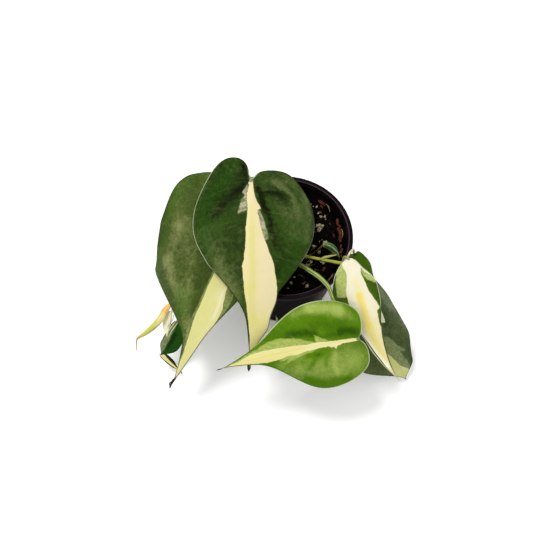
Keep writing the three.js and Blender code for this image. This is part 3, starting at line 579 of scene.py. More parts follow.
def blade_data(name, fine):
    """A blade's triangles, with the flat place and the uv of each point."""
    blade = Blade(LEAVES[name])
    spread = np.linspace(0, 1, fine["columns"] + 1)
    spread = .55 * spread + .45 * (.5 - .5 * np.cos(math.pi * spread))
    points, flat, uv, triangles, lines, rim = [], [], [], [], [], []
    known = {}
    for side, sign in ((0, 1), (1, -1)):
        margin, row, vein, along, across, place = half_grid(blade, side, fine["rows"], spread)
        lines.append(margin * (1, sign))
        index = np.zeros(along.shape, int)
        for i, j in np.ndindex(index.shape):
            key = point_key(side, i, j, len(margin) - 1, vein[i] == 0)
            if key not in known:
                known[key] = len(points)
                points.append(place[i, j])
                flat.append((along[i, j], sign * across[i, j]))
                uv.append((row[i], .5 + .5 * sign * spread[j]))
            index[i, j] = known[key]
        triangles += grid_triangles(index, side == 1)
        rim.append(list(index[:, -1]))
    loop = rim[0] + rim[1][-2:0:-1]
    return dict(blade=blade, points=np.array(points), flat=np.array(flat), uv=np.array(uv),
                triangles=np.array(triangles), loop=loop, lines=lines)


def point_normals(points, triangles):
    normals = np.zeros_like(points)
    a, b, c = points[triangles[:, 0]], points[triangles[:, 1]], points[triangles[:, 2]]
    across = np.cross(b - a, c - a)
    for k in range(3):
        np.add.at(normals, triangles[:, k], across)
    return unit(normals)


def blade_relief(name, data, fine):
    """Side veins pressed into the upper side, and the blade's own hollows."""
    length = data["blade"].length
    u, v = data["uv"][:, 0], np.abs(data["uv"][:, 1] * 2 - 1)
    fade = np.sin(math.pi * np.clip(v, 0, 1)) ** .7 * smooth_step(1, .7, u)
    ripple = np.abs(np.sin(math.pi * fine["veins"] * u ** 1.1)) ** .6
    total = fine["vein_depth"] * ripple * fade
    total += .5 * fine["vein_depth"] * waves(data["points"], 9, 5) * fade
    return total + line_field(data["flat"], length, RELIEF.get(name, ()))


def blade_fields(name, data, margin):
    """What the materials read at each point: markings, soft lines and distances."""
    flat, length = data["flat"], data["blade"].length
    marks = MARKS.get(name, {})
    fields = {key: mark_field(flat, marks.get(key, ()), length)
              for key in ("stripe", "pale", "accent", "seam")}
    edging = line_field(flat, length, EDGED.get(name, EDGED_ALL_ROUND))
    fields.update(rib=np.abs(flat[:, 1]), margin=margin, share=flat[:, 0] / length,
                  tone=line_field(flat, length, TONED.get(name, ())),
                  warm=line_field(flat, length, WARMED.get(name, ())), edging=np.clip(edging, 0, 1))
    fields = {key: np.tile(value, 2) for key, value in fields.items()}
    fields["under"] = np.repeat([0.0, 1.0], len(flat))
    return fields


def make_blade(name, fine, material, replaced):
    """A blade as a closed shell, thin at its margin, with a keel under the midrib and a groove above."""
    data = blade_data(name, fine)
    triangles, flat, loop = data["triangles"], data["flat"], data["loop"]
    normals = point_normals(data["points"], triangles)
    points = data["points"] + normals * blade_relief(name, data, fine)[:, None]
    normals = point_normals(points, triangles)
    rib = np.abs(flat[:, 1])
    margin = np.minimum(*(distance_to_line(flat, line) for line in data["lines"]))
    half = fine["thickness"] / 2 * (.45 + .55 * smooth_step(0, .8, margin))
    taper = np.clip(1 - flat[:, 0] / data["blade"].length, 0, 1)
    keel = fine["keel"] * taper ** .6 * np.exp(-(rib / (.35 + .65 * taper)) ** 2)
    keel *= smooth_step(0, 1, margin + taper)
    groove = .22 * taper ** .5 * np.exp(-(rib / .45) ** 2) * smooth_step(.2, 1.5, margin)
    upper = points + normals * (half - groove)[:, None]
    lower = points - normals * (half + keel)[:, None]
    count = len(points)
    faces = [tuple(t) for t in triangles]
    faces += [(a + count, c + count, b + count) for a, b, c in triangles]
    for a, b in zip(loop, loop[1:] + loop[:1]):
        faces += [(a, b, b + count), (a, b + count, a + count)]
    add_piece(name + "_blade", np.vstack([upper, lower]), faces, material, replaced,
              uv=np.tile(data["uv"], (2, 1)), fields=blade_fields(name, data, margin))


# Making objects

def add_piece(name, points, faces, material, replaced, uv=None, fields=None):
    """A mesh object from points in millimetres, riding on the plant's one body."""
    mesh = bpy.data.meshes.new(name)
    mesh.from_pydata([tuple(p) for p in np.asarray(points) * MM], [], [tuple(map(int, f)) for f in faces])
    mesh.polygons.foreach_set("use_smooth", [True] * len(mesh.polygons))
    if uv is not None:
        corners = np.zeros(len(mesh.loops), np.int32)
        mesh.loops.foreach_get("vertex_index", corners)
        layer = mesh.uv_layers.new(name="rows")
        layer.data.foreach_set("uv", np.asarray(uv)[corners].astype(np.float32).ravel())
    for key, values in (fields or {}).items():
        attribute = mesh.attributes.new(key, "FLOAT", "POINT")
        attribute.data.foreach_set("value", np.asarray(values, np.float32))
    mesh.materials.append(material)
    mesh.update()
    made = bpy.data.objects.new(name, mesh)
    bpy.context.scene.collection.objects.link(made)
    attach(made, "root")
    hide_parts(replaced)


def catmull(route, share):
    """Places on a smooth line through a route's points, at shares from 0 to 1."""
    p = np.array(route, float)
    p = np.vstack([2 * p[0] - p[1], p, 2 * p[-1] - p[-2]])
    spans = len(route) - 1
    place = np.clip(np.asarray(share, float), 0, 1) * spans
    i = np.minimum(place.astype(int), spans - 1)
    t = (place - i)[:, None]
    a, b, c, d = p[i], p[i + 1], p[i + 2], p[i + 3]
    start, end = .5 * (c - a), .5 * (d - b)
    square = -3 * b + 3 * c - 2 * start - end
    cube = 2 * b - 2 * c + start + end
    return b + start * t + square * t ** 2 + cube * t ** 3


def tube_mesh(route, radii, sides=20, step=.7, swell=None, squash=1.0):
    """A closed tube of changing radius with a rounded end. Its uv is the share of length and of a turn."""
    rough = catmull(route, np.linspace(0, 1, 60))
    length = np.linalg.norm(np.diff(rough, axis=0), axis=1).sum()
    steps = max(8, round(length / step))
    share = np.linspace(0, 1, steps + 1)
    places = catmull(route, share)
    course = unit(np.gradient(places, axis=0))
    radius = np.interp(share * (len(radii) - 1), np.arange(len(radii)), radii)
    if swell is not None:
        radius = radius * swell(share, share * length)
    across = np.array([1.0, 0, 0])
    rings = []
    turn = np.linspace(0, 2 * math.pi, sides, endpoint=False)
    for i in range(steps + 1):
        across = unit(across - course[i] * (across @ course[i]))
        up = np.cross(course[i], across)
        rings.append(places[i] + radius[i] * (np.outer(np.cos(turn), across)
                                              + squash * np.outer(np.sin(turn), up)))
    points = np.vstack(rings + [places[:1], places[-1:] + course[-1] * radius[-1] * .35])
    uv = [(s, k / sides) for s in share for k in range(sides)] + [(0, 0), (1, 0)]
    faces = []
    for i in range(steps):
        for k in range(sides):
            n = (k + 1) % sides
            faces.append((i * sides + k, i * sides + n, (i + 1) * sides + n, (i + 1) * sides + k))
    first, last = len(points) - 2, len(points) - 1
    for k in range(sides):
        n = (k + 1) % sides
        faces.append((first, n, k))
        faces.append((last, steps * sides + k, steps * sides + n))
    return points, faces, uv


def joined(parts):
    """Several (points, faces, uv) as one."""
    points, faces, uv = [], [], []
    for p, f, t in parts:
        shift = sum(len(q) for q in points)
        points.append(np.asarray(p))
        uv.append(np.asarray(t))
        faces += [tuple(i + shift for i in face) for face in f]
    return np.vstack(points), faces, np.vstack(uv)


# Node trees

class Nodes:
    """Short calls for the nodes that the materials are made of."""

    def __init__(self, name):
        self.material = bpy.data.materials.new(name)
        self.material.use_nodes = True
        self.tree = self.material.node_tree
        self.shader = self.tree.nodes["Principled BSDF"]

    def add(self, kind, inputs=(), **settings):
        node = self.tree.nodes.new(kind)
        for key, value in settings.items():
            setattr(node, key, value)
        for key, value in dict(inputs).items():
            self.put(node.inputs[key], value)
        return node

    def put(self, socket, value):
        if isinstance(value, bpy.types.NodeSocket):
            self.tree.links.new(value, socket)
        else:
            socket.default_value = value

    def math(self, operation, a, b=0.0, c=0.0):
        node = self.add("ShaderNodeMath", operation=operation)
        for socket, value in zip(node.inputs, (a, b, c)):
            self.put(socket, value)
        return node.outputs[0]

    def times(self, a, b):
        return self.math("MULTIPLY", a, b)

    def plus(self, a, b):
        return self.math("ADD", a, b)

    def minus(self, a, b):
        return self.math("SUBTRACT", a, b)

    def centred(self, noise, scale):
        """A noise moved down to lie round zero, times a scale."""
        return self.times(self.minus(noise, .5), scale)

    def field(self, name):
        return self.add("ShaderNodeAttribute", attribute_name=name).outputs["Fac"]

    def step(self, value, low, high):
        node = self.add("ShaderNodeMapRange", interpolation_type="SMOOTHSTEP",
                        inputs={"Value": value, "From Min": low, "From Max": high})
        return node.outputs["Result"]

    def mix(self, share, a, b):
        node = self.add("ShaderNodeMix", data_type="RGBA", clamp_factor=True)
        self.put(node.inputs["Factor"], share)
        self.put(node.inputs[6], a)
        self.put(node.inputs[7], b)
        return node.outputs[2]

    def blend(self, share, a, b):
        node = self.add("ShaderNodeMix", data_type="FLOAT", clamp_factor=True)
        self.put(node.inputs["Factor"], share)
        self.put(node.inputs[2], a)
        self.put(node.inputs[3], b)
        return node.outputs[0]

    def rows(self):
        """The share of the length, and the share across it or of a turn, from the mesh's own uv."""
        uv = self.add("ShaderNodeUVMap", uv_map="rows").outputs[0]
        split = self.add("ShaderNodeSeparateXYZ", inputs={"Vector": uv})
        return split.outputs[0], split.outputs[1]

    def fibres(self, along, across, detail):
        """A noise with this many repeats along the piece and across it."""
        u, v = self.rows()
        where = self.add("ShaderNodeCombineXYZ",
                         inputs={"X": self.times(u, along), "Y": self.times(v, across)})
        return self.noise(where.outputs[0], detail)

    def place(self, scale):
        """Object coordinates, times a scale in repeats a millimetre."""
        where = self.add("ShaderNodeTexCoord").outputs["Object"]
        node = self.add("ShaderNodeVectorMath", operation="SCALE", inputs={"Scale": scale / MM})
        self.put(node.inputs[0], where)
        return node.outputs[0]

    def noise(self, where, detail, rough=.5):
        node = self.add("ShaderNodeTexNoise",
                        inputs={"Vector": where, "Scale": 1.0, "Detail": detail, "Roughness": rough})
        return node.outputs["Fac"]

    def bump(self, height, strength, distance):
        node = self.add("ShaderNodeBump",
                        inputs={"Height": height, "Strength": strength, "Distance": distance * MM})
        return node.outputs["Normal"]

    def finish(self, **sockets):
        for key, value in sockets.items():
            self.put(self.shader.inputs[key.replace("_", " ")], value)
        return self.material


STUDIO_GAIN = 1.3


def colour(red, green, blue):
    """A surface colour from the look that it has on screen, 0 to 255, under the bright studio light."""
    def linear(c):
        c /= 255
        return (c / 12.92 if c <= .04045 else ((c + .055) / 1.055) ** 2.4) / STUDIO_GAIN
    return (linear(red), linear(green), linear(blue), 1)


# Leaf surface: the width of a margin's thin line and the feathering of the markings, in millimetres,
# the share of the fringe colour beside a stripe, and the colour of the underside

EDGE_WIDTH = .75
FEATHER = .35
SMALL_FEATHER = .3
FRINGE_SHARE = .3
LEAF_UNDER = colour(118, 138, 84)


def leaf_noises(n, feather):
    """A leaf's noises. Streaks run with the side veins: fast along the leaf, slow across it."""
    noises = dict(streak=n.fibres(60, 7, 3), fine=n.fibres(220, 30, 2), cloud=n.noise(n.place(.05), 4),
                  mottle=n.noise(n.place(.35), 4, .6), waver=n.minus(n.noise(n.place(.22), 3), .5))
    tilt = n.plus(n.times(noises["waver"], 3 * feather), n.centred(noises["streak"], 2 * feather))
    noises["tilt"] = n.plus(tilt, n.centred(noises["fine"], feather))
    return noises


def leaf_green(n, tones, noises, depth):
    """A leaf's green, from deep to sheen as painted shade and sheen along its tone lines, with its accent,
    streaks, fringe and silver patches.
    """
    streak, mottle, tilt = noises["streak"], noises["mottle"], noises["tilt"]
    tone = n.plus(n.field("tone"), n.centred(mottle, tones.get("mottle", .7)))
    body = n.mix(n.step(noises["cloud"], .35, .65), tones["dark"], tones["light"])
    # Painted sheen where the tone lines run above zero and painted shade where they run below, over the
    # leaf's own mottle.
    body = n.mix(n.step(tone, 0, .9), body, tones["sheen"])
    body = n.mix(n.step(tone, 0, -.75), body, tones["deep"])
    # The accent: a leaf's own green patches, but painted light where a lobe is lit on the front and right
    # leaves.
    soft = tones.get("accent_reach", 1.2)
    accent = n.step(n.plus(n.field("accent"), n.times(tilt, 3)), -soft, soft)
    accent = n.times(accent, tones.get("accent_share", 1.0))
    body = n.mix(accent, body, tones.get("accent", tones["light"]))
    # Streaks along the side veins, drawn towards the sheen colour: painted sheen.
    streaks = n.times(n.step(streak, .5, .75), tones.get("streaks", .16))
    body = n.mix(streaks, body, tones["sheen"])
    fringe = n.times(n.step(depth, -.9, -.1), FRINGE_SHARE)
    body = n.mix(fringe, body, tones.get("fringe", tones["sheen"]))
    silver = n.mix(n.step(n.blend(.5, mottle, streak), .42, .6), tones["pale"],
                   tones.get("pale_deep", tones["pale"]))
    pale = n.step(n.plus(n.field("pale"), n.times(tilt, 1.6)), -.4, .6)
    return n.mix(pale, body, silver)


def leaf_cream(n, tones, noises):
    """The cream of a stripe, yellow where it is warm, with streaks and a blush, whitened as painted light
    where its tone lines say.
    """
    warmth = n.plus(n.field("warm"), n.centred(noises["mottle"], .7))
    cream = n.mix(n.step(warmth, -.25, 1.25), tones["cream"], tones["yellow"])
    cream = n.mix(n.times(n.step(noises["streak"], .55, .8), .25), cream, tones["yellow"])
    blush = n.times(n.step(noises["cloud"], .52, .7), .3)
    cream = n.mix(blush, cream, tones.get("blush", tones["cream"]))
    # Painted light: the cream made whiter on the side of the cream leaf that falls into shade.
    if "cream_lit" in tones:
        cream = n.mix(n.step(n.field("tone"), .1, 1), cream, tones["cream_lit"])
    return cream


def leaf_grain(n, tones, body, stripe):
    """A fine unevenness of the green, which the cream doesn't have."""
    uneven = tones.get("uneven", .14)
    shade = n.blend(n.step(n.noise(n.place(.75), 4, .7), .3, .7), 1 - uneven, 1 + uneven)
    speck = n.blend(n.step(n.noise(n.place(1.6), 2), .3, .7), .9, 1.1)
    shade = n.blend(stripe, n.times(shade, speck), 1)
    lit = n.add("ShaderNodeVectorMath", operation="SCALE", inputs={"Scale": shade})
    n.put(lit.inputs[0], body)
    return lit.outputs[0]


def leaf_edges(n, tones, body):
    """The thin line along a margin, dark, or pale where the leaf's edging says so."""
    near = n.step(n.field("margin"), EDGE_WIDTH, .4 * EDGE_WIDTH)
    dark = n.times(near, tones.get("edge_dark_share", .75))
    body = n.mix(dark, body, tones.get("edge_dark", tones["deep"]))
    pale = n.times(near, n.times(n.field("edging"), tones.get("edge_share", .85)))
    return n.mix(pale, body, tones["edge"])


def leaf_material(name, tones, feather=FEATHER):
    """A variegated leaf: its greens, its silver patches and its cream stripe, with feathered edges."""
    n = Nodes(name)
    noises = leaf_noises(n, feather)
    depth = n.plus(n.field("stripe"), noises["tilt"])
    stripe = n.step(depth, -.1, .2)
    body = n.mix(stripe, leaf_green(n, tones, noises, depth), leaf_cream(n, tones, noises))
    if "seam" in tones:
        body = n.mix(n.step(n.field("seam"), -.15, .2), body, tones["seam"])
    rib = n.times(n.step(n.field("rib"), .5, .1), tones.get("rib_share", .3))
    body = leaf_grain(n, tones, n.mix(rib, body, tones["rib"]), stripe)
    body = leaf_edges(n, tones, body)
    if "dry" in tones:
        end = n.plus(n.field("share"), n.times(noises["waver"], .03))
        body = n.mix(n.step(end, tones["dry_from"], tones["dry_from"] + .03), body, tones["dry"])
    under = n.mix(tones.get("under_share", .5), body, LEAF_UNDER)
    body = n.mix(n.field("under"), body, under)
    veins = n.plus(n.times(noises["streak"], .5), n.times(noises["fine"], .5))
    height = n.plus(veins, n.times(n.noise(n.place(2.2), 2), .5))
    return n.finish(Base_Color=body, Roughness=n.blend(n.step(noises["mottle"], .3, .7), .4, .52),
                    Specular_IOR_Level=tones.get("specular", .03), Normal=n.bump(height, .35, .12))


def stem_material(name, light, dark, line, line_share=.6):
    """A green stem: painted light above and painted shade below, with dark ribs along it and pale ribs on
    its upper side as painted highlights.
    """
    n = Nodes(name)
    lines = n.fibres(5, 9, 2)
    mottle = n.noise(n.place(.35), 3)
    top = n.plus(n.field("top"), n.centred(lines, .25))
    # Painted light and shade: dark below to light above, by how far the stem looks up.
    body = n.mix(n.step(top, .15, .9), dark, light)
    body = n.mix(n.times(n.step(mottle, .45, .65), .4), body, dark)
    ribs = n.math("SINE", n.times(n.rows()[1], STALK_RIBS * 2 * math.pi))
    # Pale ribs only where the stem looks up: painted highlights.
    ridge = n.times(n.step(ribs, .1, .9), n.times(n.step(top, .1, .5), line_share))
    body = n.mix(ridge, body, line)
    body = n.mix(n.times(n.step(ribs, -.5, -1), line_share), body, dark)
    grain = n.noise(n.place(1.8), 3)
    return n.finish(Base_Color=body, Roughness=n.blend(grain, .4, .55), Specular_IOR_Level=.15,
                    Normal=n.bump(n.plus(lines, grain), .3, .1))


def pot_material():
    """Moulded black-brown plastic: faint rings, scuffs, dried splashes, a pale inner edge that is partly
    wear and partly a painted highlight, and a painted sheen on the right of the outer wall.
    """
    n = Nodes("pot_plastic")
    grain = n.noise(n.place(2.4), 2)
    patch = n.noise(n.place(.08), 4)
    dust = n.noise(n.place(.7), 5, .65)
    place = n.add("ShaderNodeSeparateXYZ", inputs={"Vector": n.place(1)})
    x, y, height = place.outputs[0], place.outputs[1], place.outputs[2]
    rings = n.math("SINE", n.times(height, 4.2))
    out = n.math("SQRT", n.plus(n.times(x, x), n.times(y, y)))
    off = n.plus(n.math("ABSOLUTE", n.minus(out, WORN_HIGHLIGHT_EDGE[0])),
                 n.math("ABSOLUTE", n.minus(height, WORN_HIGHLIGHT_EDGE[1])))
    # A pale line round the rim's inner edge: partly wear, partly a painted highlight.
    worn_highlight = n.times(n.step(off, .75, .2), n.blend(dust, .35, 1))
    body = n.mix(n.step(patch, .4, .7), colour(17, 12, 13), colour(28, 22, 25))
    body = n.mix(n.times(n.step(dust, .64, .76), .25), body, colour(84, 72, 66))
    wall = n.step(height, 68, 64)
    # A painted sheen: the outer wall made lighter towards its right, where it would reflect the floor's
    # light.
    slope = (POT["rim"] - POT["lip_depth"] - POT["base"]) / POT["height"]
    depth = n.minus(out, n.math("MULTIPLY_ADD", height, slope, POT["base"]))
    painted_sheen = n.times(n.step(x, 14, 28), n.step(depth, -.9, -.5))
    body = n.mix(n.times(wall, n.times(painted_sheen, .8)), body, colour(120, 108, 102))
    body = n.mix(worn_highlight, body, colour(104, 86, 88))
    relief = n.plus(n.times(rings, .25), grain)
    return n.finish(Base_Color=body, Roughness=n.blend(patch, .34, .5),
                    Specular_IOR_Level=n.blend(wall, .02, .002), Normal=n.bump(relief, .2, .08))


def soil_material(name, dark, light, gloss):
    n = Nodes(name)
    lump = n.noise(n.place(.5), 5, .6)
    crumb = n.noise(n.place(2.6), 4, .7)
    body = n.mix(n.step(lump, .45, .75), dark, light)
    body = n.mix(n.times(n.step(crumb, .66, .8), .4), body, colour(70, 46, 30))
    return n.finish(Base_Color=body, Roughness=n.blend(crumb, gloss, .95), Specular_IOR_Level=.03,
                    Normal=n.bump(n.plus(lump, crumb), .8, .35))


def perlite_material():
    n = Nodes("perlite")
    pits = n.noise(n.place(2.2), 4, .65)
    stain = n.noise(n.place(.5), 3)
    body = n.mix(n.step(pits, .38, .6), colour(122, 112, 78), colour(214, 204, 164))
    body = n.mix(n.times(n.step(stain, .45, .75), .6), body, colour(96, 80, 48))
    return n.finish(Base_Color=body, Roughness=.92, Specular_IOR_Level=.2,
                    Normal=n.bump(pits, .9, .4))


def bark_material():
    n = Nodes("bark")
    layers = n.noise(n.place(.9), 4, .6)
    fibre = n.noise(n.place(3), 3)
    body = n.mix(n.step(layers, .35, .65), colour(52, 20, 8), colour(122, 56, 20))
    body = n.mix(n.times(n.step(fibre, .62, .76), .5), body, colour(168, 96, 58))
    return n.finish(Base_Color=body, Roughness=.8, Specular_IOR_Level=.3,
                    Normal=n.bump(n.plus(layers, fibre), .8, .3))


def husk_material():
    n = Nodes("husk")
    fibre = n.noise(n.place(1.6), 4)
    body = n.mix(n.step(fibre, .35, .7), colour(120, 92, 52), colour(196, 170, 118))
    return n.finish(Base_Color=body, Roughness=.75, Specular_IOR_Level=.25,
                    Normal=n.bump(fibre, .6, .2))


# Pot

def lathe(profile, sides):
    """A turned mesh from (radius, height) pairs, closed along its profile."""
    turn = np.linspace(0, 2 * math.pi, sides, endpoint=False)
    points, faces = [], []
    for r, z in profile:
        points += [(r * math.cos(a), r * math.sin(a), z) for a in turn]
    rings = len(profile)
    for i in range(rings - 1):
        for k in range(sides):
            n = (k + 1) % sides
            faces.append((i * sides + k, i * sides + n, (i + 1) * sides + n, (i + 1) * sides + k))
    return points, faces


def arc(centre, radius, start, end, steps):
    """Points of a round corner in a profile."""
    angles = np.radians(np.linspace(start, end, steps))
    return [(centre[0] + radius * math.cos(a), centre[1] + radius * math.sin(a)) for a in angles]


def inner_radius(z):
    return POT["base"] + (POT["rim"] - POT["lip_depth"] - POT["base"]) * z / POT["height"] - POT["wall"]


def wall_radius(z):
    return inner_radius(z) + POT["wall"]


def floor_ring(z, outer, flip):
    """A disc at height z with the drain holes left out, as rings round each hole and the middle."""
    circle, hole = POT["hole_circle"], POT["hole_radius"]
    sector = 2 * math.pi / POT["hole_count"]
    points, faces = [], []
    for h in range(POT["hole_count"]):
        middle = np.array([circle * math.cos(h * sector), circle * math.sin(h * sector)])
        ring = []
        count = HOLE_SIDES
        for k in range(count):
            a = h * sector + 2 * math.pi * k / count
            away = np.array([math.cos(a), math.sin(a)])
            reach = sector_reach(middle, away, h * sector, sector, outer)
            ring.append((middle + hole * away, middle + reach * away))
        start = len(points)
        points += [(*p, z) for pair in ring for p in pair]
        for k in range(count):
            n = (k + 1) % count
            face = (start + 2 * k, start + 2 * k + 1, start + 2 * n + 1, start + 2 * n)
            faces.append(face[::-1] if flip else face)
    return points, faces


def sector_reach(middle, away, facing, sector, outer):
    """How far a ray runs from a hole's middle to its slice of the floor's edge."""
    b = middle @ away
    reach = -b + math.sqrt(b * b - middle @ middle + outer * outer)
    for sign in (1, -1):
        a = facing + sign * sector / 2
        normal = np.array([-math.sin(a), math.cos(a)]) * sign
        rate = away @ normal
        if rate > 1e-9:
            reach = min(reach, -(middle @ normal) / rate)
    return reach


def outer_profile():
    """The pot's outside, from the foot to the top of the rim."""
    height, rim, base = POT["height"], POT["rim"], POT["base"]
    lip_low = height - POT["lip"]
    line = [(base - FOOT_ROUND - .1, 0)] + arc((base - FOOT_ROUND, FOOT_ROUND), FOOT_ROUND, -90, 0, 6)
    for z in np.linspace(2.5, lip_low - 1, 24):
        ring = WALL_RING["out"] if WALL_RING["low"] < z < WALL_RING["high"] else 0
        line.append((wall_radius(z) + ring, z))
    line.append((wall_radius(lip_low) + .05, lip_low - .3))
    line += arc((rim - LIP_ROUND, lip_low + LIP_ROUND), LIP_ROUND, -90, 0, 5)
    return line + arc((rim - RIM_ROUND, height - RIM_ROUND), RIM_ROUND, 0, 90, 7)


def inner_profile():
    """The pot's inside, from the top of the rim to the floor."""
    height, floor = POT["height"], POT["floor"]
    line = arc((inner_radius(height) + RIM_ROUND, height - RIM_ROUND), RIM_ROUND, 90, 180, 7)
    line += [(inner_radius(height - down) - inward, height - down) for down, inward in RIM_STEP]
    line += [(inner_radius(z), z) for z in np.linspace(height - 6, floor + 1, 16)]
    corner = (inner_radius(floor) - FLOOR_ROUND, floor + FLOOR_ROUND)
    return line + arc(corner, FLOOR_ROUND, 0, -90, 5)


def make_pot(material):
    """The turned pot, with its floor in two faces and the drain holes through it."""
    floor = POT["floor"]
    parts = [lathe(outer_profile() + inner_profile(), POT_SIDES)]
    parts.append(floor_ring(0, POT["base"] - FOOT_ROUND - .1, True))
    parts.append(floor_ring(floor, inner_radius(floor) - FLOOR_ROUND, False))
    for h in range(POT["hole_count"]):
        a = 2 * math.pi * h / POT["hole_count"]
        x, y = POT["hole_circle"] * math.cos(a), POT["hole_circle"] * math.sin(a)
        bore, quads = lathe([(POT["hole_radius"], floor), (POT["hole_radius"], 0)], HOLE_SIDES)
        parts.append(([(px + x, py + y, pz) for px, py, pz in bore], quads))
    points, faces, _ = joined([(p, f, np.zeros((len(p), 2))) for p, f in parts])
    add_piece("pot_body", points, faces, material, "pot")


# Soil

def soil_height(x, y):
    swell = (np.sin(.31 * x + .9) * np.cos(.27 * y - .4) + .8 * np.sin(.53 * x - .41 * y + 1.2)
             + .5 * np.cos(.9 * x + .7 * y))
    return SOIL_LEVEL + SOIL_RELIEF * swell


def draws(seed):
    """A repeatable run of numbers from 0 to 1, the same as in the part's own source."""
    state = seed
    while True:
        state = (state * 48271) % 2147483647
        yield state / 2147483647


# Soil's fine relief: height, length of the waves, and seed

SOIL_WAVES = ((.35, 5, 3), (.22, 2.2, 4), (.12, 1.1, 6))
STEM_FEET = [leaf["stalk"][1][:2] for leaf in LEAVES.values() if leaf["stalk"][0][2] < SOIL_LEVEL]
STEM_FEET += [vine["route"][1][:2] for vine in VINES.values()]
SOIL_EDGE = inner_radius(SOIL_LEVEL - 2) - .4


def make_soil(material):
    rings, sides = 74, 220
    points = [(0, 0, 0)]
    for i in range(1, rings + 1):
        r = SOIL_EDGE * i / rings
        for k in range(sides):
            a = 2 * math.pi * (k + .5 * (i % 2)) / sides
            points.append((r * math.cos(a), r * math.sin(a), 0))
    points = np.array(points)
    x, y = points[:, 0], points[:, 1]
    r = np.hypot(x, y)
    flat = np.stack([x, y, np.zeros_like(x)], -1)
    z = soil_height(x, y)
    for height, scale, seed in SOIL_WAVES:
        z += height * waves(flat, scale, seed)
    z -= 1.2 * smooth_step(SOIL_EDGE - 3, SOIL_EDGE, r)
    points[:, 2] = z
    foot = [(px * .995, py * .995, SOIL_LEVEL - 6) for px, py, _ in points[-sides:]]
    points = np.vstack([points, foot])
    faces = [(0, 1 + k, 1 + (k + 1) % sides) for k in range(sides)]
    for i in range(rings):
        for k in range(sides):
            a, b = 1 + i * sides + k, 1 + i * sides + (k + 1) % sides
            faces.append((a, a + sides, b + sides, b))
    faces.append(tuple(1 + rings * sides + k for k in reversed(range(sides))))
    add_piece("soil_surface", points, faces, material, "soil")


def ball(level):
    """A unit ball's points and triangles."""
    mesh = bpy.data.meshes.new("ball")
    work = bmesh.new()
    bmesh.ops.create_icosphere(work, subdivisions=level, radius=1)
    work.to_mesh(mesh)
    work.free()
    points = np.array([v.co[:] for v in mesh.vertices])
    faces = [tuple(p.vertices) for p in mesh.polygons]
    bpy.data.meshes.remove(mesh)
    return points, faces


def lump(shape, radius, seed, rough=.28, flatten=.8):
    """A ball made uneven and angular."""
    points, faces = shape
    swell = 1 + rough * waves(points, 1.7, seed, 5) + .5 * rough * waves(points, .8, seed + 1, 5)
    rng = np.random.default_rng(seed + 2)
    stretch = rng.uniform(.75, 1.2, 3) * (1, 1, flatten)
    made = points * swell[:, None] * stretch * radius
    a = rng.uniform(0, 2 * math.pi)
    turn = np.array([[math.cos(a), -math.sin(a), 0], [math.sin(a), math.cos(a), 0], [0, 0, 1]])
    return made @ turn.T, faces


def far_from_stems(x, y, reach):
    return all(math.hypot(x - fx, y - fy) > reach for fx, fy in STEM_FEET)


# Loose grains: how many of each, the seeds of their draws, and the places of those that are seen

COUNTS = dict(perlite=26, small_perlite=22, crumb=520, bark=40, fibres=46)
SEEDS = dict(perlite=11, small_perlite=77, crumb=41, bark=29, fibres=63)
SEEN_PERLITE = [
    (20.1, 11.2, 1.5), (22.5, 11.4, 1.1), (20.9, 8.7, 1.3), (19.8, 24.1, .7), (22.1, 17.6, .9),
    (24.5, 17.7, .8), (20.6, 20.2, .6), (17.2, -2.2, 1.1), (20.3, -6, .8), (15.4, -12.6, .9),
    (13.2, -14.9, 1.1), (3.5, -26, .7), (12.8, -27.9, .9), (10.5, -26, .8),
]
SEEN_BARK = [
    (22.4, 26.8, .9), (23.6, 26, .7), (22.6, 24.2, .5), (21.9, 20.9, .5), (27.4, 13, .35),
    (29.4, 4.7, .45), (32, 13.9, .8), (32.6, 11.2, .6), (33, 7.9, 1), (33.4, 4.7, .9), (33.2, 2, .6),
    (33.4, -2.1, .5), (33.6, -5.4, .7), (33.4, -8.6, .5), (22.8, -17.5, .6), (11.4, -25.4, .5),
]


def scattered(rng, reach):
    """A place on the mix, up to reach from its middle."""
    spread, around = math.sqrt(rng.uniform()) * reach, rng.uniform(0, 2 * math.pi)
    return spread * math.cos(around), spread * math.sin(around)


def laid(points, faces, x, y, above):
    """A grain, set down on the mix."""
    return points + (x, y, float(soil_height(x, y)) + above), faces, np.zeros((len(points), 2))


def add_to_mix(name, parts, material):
    points, faces, _ = joined(parts)
    add_piece(name, points, faces, material, "soil")


def perlite_places():
    """The same grains as in the part's own source."""
    draw = draws(SEEDS["perlite"])
    grains = []
    for x, y, radius in SEEN_PERLITE:
        grains.append((x, y, radius))
        next(draw)
    while len(grains) < COUNTS["perlite"]:
        spread = math.sqrt(next(draw)) * (inner_radius(SOIL_LEVEL) - 3)
        around = 2 * math.pi * next(draw)
        radius = .6 + .8 * next(draw) ** 2
        x, y = spread * math.cos(around), spread * math.sin(around)
        if far_from_stems(x, y, radius + 3.5):
            next(draw)
            grains.append((x, y, radius))
    return grains


def make_perlite(material):
    shape = ball(4)
    parts = []
    for i, (x, y, radius) in enumerate(perlite_places()):
        parts.append(laid(*lump(shape, radius, 100 + 7 * i), x, y, .35 * radius))
    small = ball(3)
    rng = np.random.default_rng(SEEDS["small_perlite"])
    while len(parts) < COUNTS["perlite"] + COUNTS["small_perlite"]:
        x, y = scattered(rng, SOIL_EDGE - 2)
        radius = rng.uniform(.25, .5)
        if far_from_stems(x, y, 2.5):
            parts.append(laid(*lump(small, radius, 900 + len(parts)), x, y, .3))
    add_to_mix("perlite_grains", parts, material)


